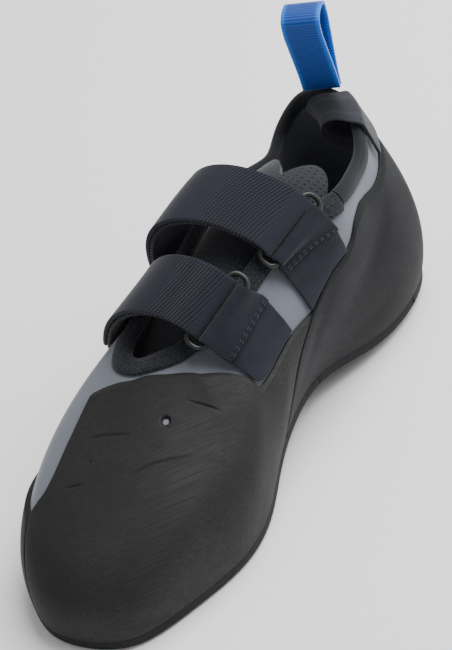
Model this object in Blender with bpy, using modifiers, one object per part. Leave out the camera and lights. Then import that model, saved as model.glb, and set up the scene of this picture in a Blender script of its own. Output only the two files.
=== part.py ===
"""Left climbing shoe with two rubbed straps: metres, toe towards -Y, heel towards +Y,
outer side of the foot towards +X, sole down at z = 0. The origin lies on the floor
under the ball of the foot, where the forefoot rests."""
import math

import bpy
import numpy as np

# Driving dimensions of the shoe
LENGTH = 0.237              # toe tip to heel along the line where upper and sole meet
BALL_WIDTH = 0.079          # across the toe joints
HEEL_WIDTH = 0.058          # across the heel seat
INSTEP_HEIGHT = 0.086       # floor to the edge of the opening over the instep
HEEL_HEIGHT = 0.098         # floor to the back of the collar
ARCH = 0.015                # how far the inner waist lifts above the heel seat
WALL = 0.002                # microfibre upper with its lining
LASTING_MARGIN = 0.008      # upper turned in under the foot
RUBBER = 0.0015             # rand and toe rubber
SOLE = 0.0045               # outsole
INSOLE = 0.003
INSOLE_ROOM = 0.0018        # between the insole and the wall, at its edge
TONGUE = 0.0035             # padded mesh tongue
BINDING = 0.001             # cloth folded round the edge of the opening
THROAT_BAND = 0.0065        # width of that binding at the throat
COLLAR_BAND = 0.0045        # and round the collar
STRAP_WIDTH = 0.027
STRAP = 0.0018              # hook-and-loop webbing
BASE_CLOTH = 0.0012         # panels that hold the rings
BASE_HEM = 0.009            # panel folded back and stitched at its ring
RING_WIRE = 0.0011          # radius of the wire
RING_SPAN = 0.0085          # between the two long sides of a ring
HEEL_TAPE = 0.016           # width of the heel pull loop
HEEL_LOOP = 0.039           # its height
HEEL_LOOP_GAP = 0.012       # finger gap inside it
HEEL_LOOP_TURN = 22.0       # degrees it is twisted about its height
SIDE_TAPE = 0.016           # width of the pull loop on the collar
SIDE_LOOP = 0.016           # how far it reaches into the opening
SIDE_LOOP_AT = 0.20         # share of the way from heel_corner_l to heel_l
SIDE_LOOP_PULL = 1.1        # how much more it points straight across than off the wall
TAPE = 0.0013
GAP = 0.0003                # between pieces that touch
LAP_GAP = 0.0005            # between curved pieces that lie on each other

# Places along the shoe, as shares of LENGTH from the toe
ORIGIN_ALONG = 0.258
ARCH_SPLIT = 0.617          # where the front outsole stops under the waist

# Sections round the shoe, from the back of the heel over the outer side to the toe and
# back over the inner side. Feather line: along (of LENGTH), across (of the local width),
# lift (of ARCH). Edge of the opening: along, across, height (of the local height).
# Wall between them: swell and rise of its lower half (of local width and height), reach
# (of LENGTH) and drop (of local height) of its upper half.
SECTIONS = [
    # name            along   across  lift   along   across  height  swell  rise   reach  drop
    ("heel_back",     1.000,  0.02,  0.28,  0.962, -0.03,  1.00,   0.17,  0.29,  0.033, 0.34),
    ("heel_corner_l", 0.967,  0.37,  0.28,  0.946,  0.21,  0.97,   0.17,  0.28,  0.038, 0.31),
    ("heel_l",        0.871,  0.51,  0.22,  0.896,  0.38,  0.92,   0.17,  0.27,  0.030, 0.27),
    ("heel_front_l",  0.742,  0.46,  0.41,  0.838,  0.45,  0.96,   0.15,  0.25,  0.030, 0.28),
    ("waist_l",       0.613,  0.32,  0.75,  0.754,  0.46,  1.00,   0.15,  0.26,  0.050, 0.21),
    ("ball_rear_l",   0.454,  0.35,  0.41,  0.620,  0.22,  0.95,   0.11,  0.30,  0.075, 0.15),
    ("ball_l",        0.354,  0.44,  0.10,  0.480,  0.12,  0.82,   0.06,  0.32,  0.103, 0.13),
    ("little_toe",    0.254,  0.48,  0.03,  0.450,  0.01,  0.77,   0.05,  0.30,  0.177, 0.17),
    ("fourth_toe",    0.133,  0.39,  0.03,  0.430, -0.05,  0.75,   0.05,  0.33,  0.216, 0.20),
    ("third_toe",     0.038,  0.25,  0.03,  0.417, -0.11,  0.735,  0.05,  0.35,  0.246, 0.235),
    ("second_toe",    0.004,  0.04,  0.03,  0.404, -0.17,  0.72,   0.05,  0.39,  0.259, 0.26),
    ("toe_tip",       0.004, -0.17,  0.03,  0.396, -0.24,  0.70,   0.04,  0.40,  0.248, 0.27),
    ("big_toe",       0.038, -0.35,  0.03,  0.398, -0.31,  0.70,   0.01,  0.38,  0.202, 0.23),
    ("big_toe_side",  0.100, -0.50,  0.03,  0.424, -0.36,  0.72,   0.01,  0.37,  0.124, 0.16),
    ("ball_m",        0.246, -0.53,  0.10,  0.490, -0.35,  0.80,   0.03,  0.36,  0.081, 0.12),
    ("ball_rear_m",   0.412, -0.46,  0.50,  0.584, -0.32,  0.90,   0.07,  0.34,  0.066, 0.14),
    ("waist_m",       0.575, -0.40,  1.00,  0.712, -0.31,  1.02,   0.11,  0.30,  0.042, 0.19),
    ("heel_front_m",  0.742, -0.40,  0.62,  0.842, -0.33,  0.90,   0.13,  0.28,  0.026, 0.28),
    ("heel_m",        0.879, -0.46,  0.28,  0.908, -0.38,  0.86,   0.17,  0.28,  0.022, 0.28),
    ("heel_corner_m", 0.972, -0.35,  0.28,  0.952, -0.28,  0.94,   0.18,  0.29,  0.026, 0.33),
]
SECTION_NAMES = [row[0] for row in SECTIONS]

# Middle of the last's underside: along, lift (of ARCH)
SPINE = [(0.00, 0.03), (0.07, 0.0), (0.33, 0.0), (0.60, 0.66), (0.80, 0.0), (0.93, 0.0),
         (1.00, 0.28)]
FLAT_SHARE = 0.40           # flat middle of the underside, of its half width
MARGIN_SLOPE = 1.32         # room over the sloping margin, of what a level one needs

# Straps: centre along at the ring and on the inner side (of LENGTH), the ring's turn
# from the edge of the opening in degrees, where on the inner side the webbing is sewn
# and leaves the upper (shares of the side's height), how far it leans outwards there
# (per unit of rise) and the handle of its arch there (of its span)
STRAPS = [
    # name     ring   inner  turn  sewn  leaves  lean   shoulder
    ("front",  0.502, 0.485, 8.0,  0.50, 0.70,  -0.33,  0.50),
    ("rear",   0.668, 0.620, 12.0, 0.50, 0.70,   0.17,  0.74),
]
STRAP_CREST = 0.42          # handle of a strap's arch at its ring, of its span
STRAP_END = 0.30            # share of the sewn side that the loose end comes down

# Edges of the rubber on the upper: section, share of the way to the next one, height
# share on the upper's side
TOE_RUBBER_TOP = [
    ("waist_l", 0.61, 0.53), ("ball_rear_l", 0.10, 0.55), ("ball_rear_l", 0.60, 0.55),
    ("ball_rear_l", 0.95, 0.58), ("ball_l", 0.40, 0.72), ("little_toe", 0.10, 0.84),
    ("little_toe", 0.90, 0.90), ("fourth_toe", 0.86, 0.94), ("third_toe", 0.76, 0.97),
    ("toe_tip", 0.05, 0.97), ("big_toe", 0.00, 0.94), ("big_toe", 0.42, 0.86),
    ("big_toe", 0.72, 0.76),
]
OUTER_SEAM = [
    ("waist_l", 0.80, 0.00), ("waist_l", 0.86, 0.25), ("waist_l", 0.84, 0.38),
    ("waist_l", 0.61, 0.53),
]
INNER_SEAM = [("toe_tip", 0.44, 0.00), ("toe_tip", 0.50, 0.30), ("toe_tip", 0.56, 0.45)]
TOE_PATCH_SIDE = INNER_SEAM + [
    ("toe_tip", 0.74, 0.59), ("big_toe", 0.05, 0.67), ("big_toe", 0.37, 0.72),
    ("big_toe", 0.72, 0.76),
]
HEEL_RUBBER_TOP = [
    ("toe_tip", 0.58, 0.45), ("big_toe", 0.60, 0.40), ("big_toe_side", 0.77, 0.37),
    ("ball_m", 0.78, 0.38), ("ball_rear_m", 0.93, 0.43), ("waist_m", 0.95, 0.56),
    ("heel_front_m", 0.48, 0.70), ("heel_m", 0.46, 0.84), ("heel_back", 0.00, 0.86),
    ("heel_corner_l", 0.40, 0.80), ("heel_l", 0.33, 0.82), ("heel_front_l", 0.00, 0.85),
    ("heel_front_l", 0.32, 0.85), ("heel_front_l", 0.62, 0.80), ("heel_front_l", 0.80, 0.72),
    ("heel_front_l", 0.96, 0.68), ("waist_l", 0.30, 0.62), ("waist_l", 0.61, 0.53),
]
# Tongue sewn in under the front of the throat: forward and down from its free part
TONGUE_LEAD = [(0.0310, 0.0205), (0.0220, 0.0165)]

SEAM = 0.0008               # half the width of a seam between two rubbers
RAND_FOOT = 0.0009          # rand's lower edge above the feather line
GIRTH = 2.5 * LENGTH        # about once round the shoe, along the feather line
LOW_SPEED = INSTEP_HEIGHT   # metres of side per unit of rise, about, at the feather line
BASE_EDGE = 0.02            # ring panel's lower edge above the rubber, in share of the side
BASE_REACH = 0.86           # share of the side where that panel leaves for its ring
SOLE_STATIONS = 1.8         # how much closer the soles' rows stand at the toe and heel
SOLE_ACROSS = [-1.0, -0.84, -0.64, -0.40, 0.40, 0.64, 0.84, 1.0]
TONGUE_FROM = 0.510         # free part of the tongue, as shares of LENGTH
TONGUE_TO = 0.742
TONGUE_LOBES = 0.058
TONGUE_TUCK = 0.007         # tucked under the sides of the opening
TONGUE_BOW = 0.34           # bulge of the tongue, of the opening's width

# Colours, roughness and metallic value
FINISHES = {
    "rubber": ((0.030, 0.031, 0.033), 0.75, 0.0),
    "outsole_rubber": ((0.026, 0.027, 0.029), 0.7, 0.0),
    "microfibre": ((0.16, 0.17, 0.19), 0.85, 0.0),
    "mesh": ((0.025, 0.026, 0.030), 0.9, 0.0),
    "webbing": ((0.024, 0.028, 0.040), 0.8, 0.0),
    "cloth": ((0.020, 0.024, 0.034), 0.85, 0.0),
    "wire": ((0.020, 0.021, 0.024), 0.35, 1.0),
    "blue_tape": ((0.006, 0.11, 0.40), 0.45, 0.0),
    "insole_board": ((0.05, 0.05, 0.055), 0.9, 0.0),
}


def smoothstep(low, high, value):
    """0 below low, 1 above high, and an even S between them."""
    share = np.clip((np.asarray(value, float) - low) / (high - low), 0.0, 1.0)
    return share * share * (3.0 - 2.0 * share)


def local_width(along):
    return BALL_WIDTH + (HEEL_WIDTH - BALL_WIDTH) * smoothstep(0.30, 0.85, along)


def local_height(along):
    return INSTEP_HEIGHT + (HEEL_HEIGHT - INSTEP_HEIGHT) * smoothstep(0.80, 0.96, along)


def measured_sections():
    """The section table in metres: feather point, opening point and four handle lengths."""
    rows = []
    for _, along, across, lift, t_along, t_across, height, swell, rise, reach, drop in SECTIONS:
        width = local_width(along)
        tall = local_height(t_along)
        rows.append((
            across * width, (along - ORIGIN_ALONG) * LENGTH, SOLE + LAP_GAP + lift * ARCH,
            t_across * local_width(t_along), (t_along - ORIGIN_ALONG) * LENGTH, height * tall,
            swell * width, rise * tall, reach * LENGTH, drop * tall))
    return np.array(rows)


def closed_spline(knots, values, at):
    """Smooth closed curve through values at knots, one turn being a period of 1."""
    count = len(knots)
    steps = np.diff(np.append(knots, knots[0] + 1.0))
    slopes = (np.roll(values, -1, 0) - values) / steps[:, None]
    system = np.zeros((count, count))
    right_side = np.zeros_like(values)
    for i in range(count):
        system[i, i - 1] += steps[i - 1]
        system[i, i] += 2.0 * (steps[i - 1] + steps[i])
        system[i, (i + 1) % count] += steps[i]
        right_side[i] = 6.0 * (slopes[i] - slopes[i - 1])
    bends = np.linalg.solve(system, right_side)
    at = np.mod(at - knots[0], 1.0) + knots[0]
    i = np.clip(np.searchsorted(knots, at, side="right") - 1, 0, count - 1)
    j = (i + 1) % count
    step = steps[i][:, None]
    after = (at - knots[i])[:, None]
    before = step - after
    return ((bends[i] * before ** 3 + bends[j] * after ** 3) / (6.0 * step)
            + (values[i] / step - bends[i] * step / 6.0) * before
            + (values[j] / step - bends[j] * step / 6.0) * after)


def section_knots(rows):
    """Turn share of each section, spaced by the root of the distance between sections."""
    chords = np.sqrt(np.linalg.norm(np.roll(rows[:, :2], -1, 0) - rows[:, :2], axis=1))
    return np.concatenate([[0.0], np.cumsum(chords)[:-1]]) / chords.sum()


ROWS = measured_sections()
KNOTS = section_knots(ROWS)


def turn_at(section, onward=0.0):
    """Turn share of a spot between a section and the next one."""
    index = SECTION_NAMES.index(section)
    following = KNOTS[index + 1] if index + 1 < len(KNOTS) else 1.0
    return KNOTS[index] + onward * (following - KNOTS[index])


def plan_outward(turn):
    """Direction, seen from above, square to the feather line and away from the foot."""
    step = 0.002
    ahead = closed_spline(KNOTS, ROWS[:, :2], turn + step)
    behind = closed_spline(KNOTS, ROWS[:, :2], turn - step)
    run = ahead - behind
    outward = np.stack([-run[:, 1], run[:, 0], np.zeros(len(run))], 1)
    return outward / np.linalg.norm(outward, axis=1)[:, None]


def side_point(turn, rise):
    """The upper's outer face: a cubic from the feather line (rise 0) to the opening (1)."""
    turn, rise = np.broadcast_arrays(np.asarray(turn, float), np.asarray(rise, float))
    flat = turn.ravel()
    row = closed_spline(KNOTS, ROWS, flat)
    outward = plan_outward(flat)
    up = np.array([0.0, 0.0, 1.0])
    low = row[:, 0:3]
    top = row[:, 3:6]
    low_handle = low + outward * row[:, 6:7] + up * row[:, 7:8]
    top_handle = top + outward * row[:, 8:9] - up * row[:, 9:10]
    v = rise.ravel()[:, None]
    w = 1.0 - v
    point = w ** 3 * low + 3 * w * w * v * low_handle + 3 * w * v * v * top_handle + v ** 3 * top
    return point.reshape(turn.shape + (3,))


def side_normal(turn, rise):
    """Outward unit normal of the upper's face, level with the floor at the feather line."""
    du, dv = 0.002, 0.01
    onward = side_point(np.asarray(turn) + du, rise) - side_point(np.asarray(turn) - du, rise)
    up = side_point(turn, np.asarray(rise) + dv) - side_point(turn, np.asarray(rise) - dv)
    normal = np.cross(up, onward)
    normal /= np.linalg.norm(normal, axis=-1)[..., None]
    level = 1.0 - smoothstep(0.0, 0.12, np.broadcast_to(rise, normal.shape[:-1]))
    normal[..., 2] *= 1.0 - level
    return normal / np.linalg.norm(normal, axis=-1)[..., None]


def speed_at_edge(turn):
    """Metres of side per unit of rise, at the edge of the opening."""
    step = 0.01
    run = side_point(turn, 1.0) - side_point(turn, 1.0 - step)
    return np.linalg.norm(run, axis=-1) / step


def by_edge(turn, distance, height):
    """A point by its distance past the opening's edge (negative: down the side) and its
    height above the upper's face."""
    turn, distance, height = np.broadcast_arrays(turn, distance, height)
    rise = 1.0 + distance / speed_at_edge(turn)
    return side_point(turn, rise) + side_normal(turn, rise) * height[..., None]


def outline(offset):
    """Feather line moved out by offset, as functions of y: lateral and medial (x, z)."""
    turn = np.linspace(0.0, 1.0, 720, endpoint=False)
    line = closed_spline(KNOTS, ROWS[:, :3], turn) + plan_outward(turn) * offset
    toe = int(line[:, 1].argmin())
    heel = int(line[:, 1].argmax())
    line = np.roll(line, -heel, 0)
    toe = (toe - heel) % len(line)
    lateral = line[:toe + 1][::-1]
    medial = np.concatenate([line[toe:], line[:1]])
    return lateral, medial


def across_at(branch, y):
    return np.interp(y, branch[:, 1], branch[:, 0]), np.interp(y, branch[:, 1], branch[:, 2])


LAST_LATERAL, LAST_MEDIAL = outline(0.0)


def last_bottom(x, y):
    """Height of the last's underside, a shallow bowl with a flat middle."""
    x_lateral, z_lateral = across_at(LAST_LATERAL, y)
    x_medial, z_medial = across_at(LAST_MEDIAL, y)
    middle = (x_lateral + x_medial) / 2.0
    half = np.maximum((x_lateral - x_medial) / 2.0, 0.002)
    share = np.clip(np.abs(x - middle) / half, 0.0, 1.0)
    bowl = np.clip((share - FLAT_SHARE) / (1.0 - FLAT_SHARE), 0.0, 1.0) ** 2
    stations = np.array(SPINE)
    along = np.clip(y / LENGTH + ORIGIN_ALONG, 0.0, 1.0)
    i = np.clip(np.searchsorted(stations[:, 0], along, side="right") - 1, 0, len(stations) - 2)
    onward = smoothstep(stations[i, 0], stations[i + 1, 0], along)
    lift = stations[i, 1] + (stations[i + 1, 1] - stations[i, 1]) * onward
    spine = SOLE + LAP_GAP + ARCH * lift
    edge = np.where(x > middle, z_lateral, z_medial)
    return spine + (edge - spine) * bowl


def sole_grid(offset, from_along, to_along, stations, raise_by):
    """Points of a plate under the last, in rows across the shoe."""
    lateral, medial = outline(offset)
    first = max((from_along - ORIGIN_ALONG) * LENGTH, lateral[0, 1] + 0.0004)
    last = min((to_along - ORIGIN_ALONG) * LENGTH, lateral[-1, 1] - 0.0004)
    share = np.linspace(0.0, 1.0, stations)
    if from_along < 0.0:
        share = share ** SOLE_STATIONS
    if to_along > 1.0:
        share = 1.0 - (1.0 - share) ** SOLE_STATIONS
    y = first + (last - first) * share
    across = np.array(SOLE_ACROSS)
    x_lateral, _ = across_at(lateral, y)
    x_medial, _ = across_at(medial, y)
    middle = (x_lateral + x_medial) / 2.0
    half = (x_lateral - x_medial) / 2.0
    x = middle[:, None] + half[:, None] * across[None, :]
    yy = np.repeat(y[:, None], len(across), 1)
    return np.stack([x, yy, last_bottom(x, yy) + raise_by], -1)


def edge_curve(rows, shares):
    """Smooth (turn, rise) curve through table rows, at shares of its length."""
    turns = np.array([turn_at(name, onward) for name, onward, _ in rows])
    turns = np.unwrap(turns * 2.0 * math.pi) / (2.0 * math.pi)
    points = np.stack([turns, [row[2] for row in rows]], 1)
    scale = np.array([GIRTH, INSTEP_HEIGHT])
    chords = np.linalg.norm(np.diff(points * scale, axis=0), axis=1)
    knots = np.concatenate([[0.0], np.cumsum(chords)]) / chords.sum()
    slopes = np.gradient(points, knots, axis=0)
    at = np.asarray(shares, float)
    i = np.clip(np.searchsorted(knots, at, side="right") - 1, 0, len(knots) - 2)
    step = (knots[i + 1] - knots[i])[:, None]
    t = (at - knots[i])[:, None] / step
    return ((2 * t ** 3 - 3 * t ** 2 + 1) * points[i] + (t ** 3 - 2 * t ** 2 + t) * step * slopes[i]
            + (3 * t ** 2 - 2 * t ** 3) * points[i + 1] + (t ** 3 - t ** 2) * step * slopes[i + 1])


def band_limit(turn, band):
    """Highest rise that stays below a binding of this width."""
    return 1.0 - (band + LAP_GAP + GAP) / speed_at_edge(turn)


def rubber_patch(top_rows, first_side, last_side, shift, columns, rows, band):
    """Grid of (turn, rise) between the rand's foot, a top edge and two seams."""
    t = np.linspace(0.0, 1.0, columns)
    s = np.linspace(0.0, 1.0, rows)
    top = edge_curve(top_rows, t)
    top[:, 1] = np.minimum(top[:, 1], band_limit(top[:, 0], band))
    first = edge_curve(first_side, s)
    last = edge_curve(last_side, s)
    last[:, 0] += round(top[-1, 0] - last[-1, 0])
    first[:, 0] += shift
    last[:, 0] -= shift
    top[:, 0] = first[-1, 0] + (top[:, 0] - top[0, 0]) * (
        (last[-1, 0] - first[-1, 0]) / (top[-1, 0] - top[0, 0]))
    bottom_turn = first[0, 0] + (top[:, 0] - top[0, 0]) * (
        (last[0, 0] - first[0, 0]) / (top[-1, 0] - top[0, 0]))
    foot = RAND_FOOT / LOW_SPEED
    bottom = np.stack([bottom_turn, np.full(columns, foot)], 1)
    first[:, 1] = foot + (first[:, 1] / first[-1, 1]) * (top[0, 1] - foot)
    last[:, 1] = foot + (last[:, 1] / last[-1, 1]) * (top[-1, 1] - foot)
    t = t[:, None, None]
    s = s[None, :, None]
    corners = ((1 - t) * (1 - s) * bottom[0] + (1 - t) * s * top[0]
               + t * (1 - s) * bottom[-1] + t * s * top[-1])
    return ((1 - s) * bottom[:, None] + s * top[:, None] + (1 - t) * first[None]
            + t * last[None] - corners)


def quads(columns, rows, wrap):
    """Faces of a grid with columns x rows points, outward for the shoe's own direction."""
    faces = []
    for i in range(columns if wrap else columns - 1):
        k = (i + 1) % columns
        for j in range(rows - 1):
            faces.append((i * rows + j, i * rows + j + 1, k * rows + j + 1, k * rows + j))
    return faces


def material(finish):
    found = bpy.data.materials.get(finish)
    if found:
        return found
    colour, roughness, metallic = FINISHES[finish]
    made = bpy.data.materials.new(finish)
    made.use_nodes = True
    shader = made.node_tree.nodes["Principled BSDF"]
    shader.inputs["Base Color"].default_value = colour + (1.0,)
    shader.inputs["Roughness"].default_value = roughness
    shader.inputs["Metallic"].default_value = metallic
    return made


def add_object(name, mesh, finish, collection):
    piece = bpy.data.objects.new(name, mesh)
    mesh.materials.append(material(finish))
    collection.objects.link(piece)
    return piece


def sheet(name, grid, thickness, side, finish, collection, wrap=False):
    """A curved sheet: the grid, thickened to its outer (side 1) or inner (side -1) face."""
    columns, rows = grid.shape[:2]
    mesh = bpy.data.meshes.new(name)
    mesh.from_pydata(grid.reshape(-1, 3).tolist(), [], quads(columns, rows, wrap))
    mesh.shade_smooth()
    piece = add_object(name, mesh, finish, collection)
    solid = piece.modifiers.new("Thickness", "SOLIDIFY")
    solid.thickness = thickness
    solid.offset = side
    solid.use_even_offset = True
    solid.use_quality_normals = True
    return piece


def layer(name, inner, outer, finish, collection):
    """A closed layer between two grids of the same size."""
    columns, rows = inner.shape[:2]
    count = columns * rows
    out_faces = quads(columns, rows, False)
    faces = [tuple(k + count for k in face) for face in out_faces]
    faces += [tuple(reversed(face)) for face in out_faces]
    rim = ([(i, 0) for i in range(columns)] + [(columns - 1, j) for j in range(1, rows)]
           + [(i, rows - 1) for i in range(columns - 2, -1, -1)]
           + [(0, j) for j in range(rows - 2, 0, -1)])
    ids = [i * rows + j for i, j in rim]
    for a, b in zip(ids, ids[1:] + ids[:1]):
        faces.append((a, a + count, b + count, b))
    mesh = bpy.data.meshes.new(name)
    points = np.concatenate([inner.reshape(-1, 3), outer.reshape(-1, 3)])
    mesh.from_pydata(points.tolist(), [], faces)
    mesh.shade_smooth()
    return add_object(name, mesh, finish, collection)


def build_upper(collection):
    """One hollow shell: side wall, and a lasting margin turned in under the foot."""
    columns, rows, margin_rows = 64, 11, 2
    turn = np.arange(columns) / columns
    rise = np.linspace(0.0, 1.0, rows)
    wall = side_point(turn[:, None], rise[None, :])
    outward = plan_outward(turn)
    share = np.linspace(1.0, 0.0, margin_rows + 1)[:-1]
    margin = wall[:, :1] - outward[:, None] * (share[None, :, None] * LASTING_MARGIN)
    margin[..., 2] = last_bottom(margin[..., 0], margin[..., 1])
    grid = np.concatenate([margin, wall], 1)
    sheet("upper", grid, WALL, -1.0, "microfibre", collection, wrap=True)


def build_rubber(name, top, first, last, shift, columns, rows, band, collection):
    """Rubber between the rand's foot and a top edge that stays below a binding."""
    patch = rubber_patch(top, first, last, shift, columns, rows, band)
    face = side_point(patch[..., 0], patch[..., 1])
    normal = side_normal(patch[..., 0], patch[..., 1])
    layer(name, face + normal * LAP_GAP, face + normal * (LAP_GAP + RUBBER), "rubber", collection)


def build_soles(collection):
    flush = LAP_GAP + RUBBER
    half_joint = GAP / (2.0 * LENGTH)
    for name, start, stop, stations in (
            ("outsole_front", -1.0, ARCH_SPLIT - half_joint, 18),
            ("outsole_heel", ARCH_SPLIT + half_joint, 2.0, 14)):
        top = sole_grid(flush, start, stop, stations, -LAP_GAP)
        layer(name, top - np.array([0.0, 0.0, SOLE]), top, "outsole_rubber", collection)
    inset = -(WALL + INSOLE_ROOM)
    seat = sole_grid(inset, -1.0, 2.0, 16, (WALL + LAP_GAP) * MARGIN_SLOPE)
    layer("insole", seat, seat + np.array([0.0, 0.0, INSOLE]), "insole_board", collection)


def build_binding(name, first, last, columns, band, collection):
    """Cloth folded over the edge of the opening, from turn share first to last."""
    turn = np.linspace(first, last, columns)[:, None]
    clear = LAP_GAP
    distance = np.array([-band, -band / 2.0, clear, clear, -band / 2.0, -band])
    height = np.array([clear, clear, clear, -WALL - clear, -WALL - clear, -WALL - clear])
    grid = by_edge(turn, distance[None, :], height[None, :])
    sheet(name, grid, BINDING, 1.0, "mesh", collection)


def turn_along(along, rise, lateral):
    """Turn share where one side reaches this share of LENGTH, at this rise."""
    first, last = ((0.0, turn_at("second_toe")) if lateral
                   else (turn_at("toe_tip"), 1.0))
    turns = np.linspace(first, last, 160)
    along, rise = np.broadcast_arrays(np.asarray(along, float), np.asarray(rise, float))
    found = np.empty(along.shape)
    for index in np.ndindex(along.shape):
        y = side_point(turns, rise[index])[:, 1] / LENGTH + ORIGIN_ALONG
        if lateral:
            found[index] = np.interp(along[index], y[::-1], turns[::-1])
        else:
            found[index] = np.interp(along[index], y, turns)
    return found


def edge_points(along, distance, height, lateral):
    """Points near the opening's edge at given shares of LENGTH on one side."""
    turn = turn_along(along, 1.0, lateral)
    for _ in range(3):
        rise = 1.0 + distance / speed_at_edge(turn)
        turn = turn_along(along, rise, lateral)
    return by_edge(turn, distance, height)


def bezier(a, b, c, d, share):
    share = share[None, :, None]
    rest = 1.0 - share
    return (rest ** 3 * a[:, None] + 3 * rest ** 2 * share * b[:, None]
            + 3 * rest * share ** 2 * c[:, None] + share ** 3 * d[:, None])


def unit(vectors):
    return vectors / np.linalg.norm(vectors, axis=-1)[..., None]


BINDING_TOP = LAP_GAP + BINDING + LAP_GAP     # first free height above the binding
WIDTHS = np.linspace(-0.5, 0.5, 4)            # across a strap, shares of its width


def ring_frame(along, turned):
    """Middle, long axis, axis towards the inner side and normal of a strap's ring."""
    stations = along + np.linspace(-0.5, 0.5, 5) * STRAP_WIDTH / LENGTH
    edge = edge_points(stations, np.zeros(5), np.zeros(5), True)
    before = edge_points(stations, np.full(5, -RING_SPAN / 2.0), np.zeros(5), True)
    long_axis = unit(edge[-1] - edge[0])
    inward = (edge - before).mean(0)
    inward = unit(inward - long_axis * inward.dot(long_axis))
    normal = np.cross(inward, long_axis)
    if normal[2] < 0.0:
        normal = -normal
    angle = math.radians(turned)
    long_axis, inward = (long_axis * math.cos(angle) + inward * math.sin(angle),
                         inward * math.cos(angle) - long_axis * math.sin(angle))
    middle = edge.mean(0)
    bow = max(((edge - middle) @ normal).max(), ((before - middle) @ normal).max())
    lift = bow + BINDING_TOP + BASE_CLOTH + LAP_GAP + RING_WIRE
    return middle + normal * lift, long_axis, inward, normal


def in_frame(frame, widths, reach, height):
    """Points of a ring's frame: rows across the strap, columns along its path."""
    middle, long_axis, inward, normal = frame
    return (middle + long_axis * (widths * STRAP_WIDTH)[:, None, None]
            + inward * np.asarray(reach)[None, :, None]
            + normal * np.asarray(height)[None, :, None])


def turn_round(bar, radius, start, stop, steps):
    """Reach and height of an arc round a bar, angles in degrees from the inward axis."""
    angle = np.radians(np.linspace(start, stop, steps))
    return bar + radius * np.cos(angle), radius * np.sin(angle)


def side_strip(along, rises, heights, lateral):
    """A strip that lies on one side of the upper at constant shares of LENGTH."""
    turn = turn_along(along[:, None], rises[None, :] + np.zeros((len(along), 1)), lateral)
    rises = np.broadcast_to(rises, turn.shape)
    return (side_point(turn, rises)
            + side_normal(turn, rises) * np.broadcast_to(heights, turn.shape)[..., None])


def build_strap_base(name, along, turned, rubber_top, collection):
    """Panel from the rubber's edge up to the ring, folded round its outer bar."""
    frame = ring_frame(along, turned)
    stations = along + WIDTHS * STRAP_WIDTH / LENGTH
    top_edge = edge_curve(rubber_top, np.linspace(0.0, 1.0, 200))
    top_edge[:, 0] = np.mod(top_edge[:, 0], 1.0)
    order = top_edge[:, 0].argsort()
    low = np.full(len(stations), 0.6)
    for _ in range(4):
        turn = turn_along(stations, low, True)
        low = np.interp(turn, top_edge[order, 0], top_edge[order, 1]) + BASE_EDGE
    share = np.linspace(0.0, 1.0, 6)
    rises = low[:, None] + (BASE_REACH - low[:, None]) * share[None, :]
    turn = turn_along(stations[:, None] + np.zeros(rises.shape), rises, True)
    heights = LAP_GAP + BASE_CLOTH / 2.0 + (BINDING_TOP - LAP_GAP) * smoothstep(0.5, 1.0, share)
    panel = side_point(turn, rises) + side_normal(turn, rises) * heights[None, :, None]
    bar = -RING_SPAN / 2.0
    radius = RING_WIRE + LAP_GAP + BASE_CLOTH / 2.0
    reach, height = turn_round(bar, radius, -90.0, 90.0, 6)
    fold = in_frame(frame, WIDTHS, reach, height)
    hem = np.array([0.5, 1.0])
    back = in_frame(frame, WIDTHS, bar - hem * BASE_HEM * 0.6,
                    radius - hem * (radius - BASE_CLOTH))
    grid = np.concatenate([panel, fold, back], 1)
    sheet(name, grid, BASE_CLOTH, 0.0, "cloth", collection)


def build_ring(name, along, turned, collection):
    """Rounded wire ring, drawn as a closed line and given the wire's thickness."""
    middle, long_axis, inward, normal = ring_frame(along, turned)
    corner = RING_SPAN / 2.0 - 0.0005
    half_long = STRAP_WIDTH / 2.0 + corner - 2.0 * GAP
    corners = [(half_long - corner, RING_SPAN / 2.0 - corner, 0.0),
               (corner - half_long, RING_SPAN / 2.0 - corner, 90.0),
               (corner - half_long, corner - RING_SPAN / 2.0, 180.0),
               (half_long - corner, corner - RING_SPAN / 2.0, 270.0)]
    points = []
    for a, b, start in corners:
        for step in range(4):
            angle = math.radians(start + 30.0 * step)
            points.append(middle + long_axis * (a + corner * math.cos(angle))
                          + inward * (b + corner * math.sin(angle)))
    line = bpy.data.curves.new(name, "CURVE")
    line.dimensions = "3D"
    line.bevel_depth = RING_WIRE
    line.bevel_resolution = 2
    path = line.splines.new("POLY")
    path.points.add(len(points) - 1)
    for point, place in zip(path.points, points):
        point.co = (*place, 1.0)
    path.use_cyclic_u = True
    line.materials.append(material("wire"))
    collection.objects.link(bpy.data.objects.new(name, line))


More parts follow.
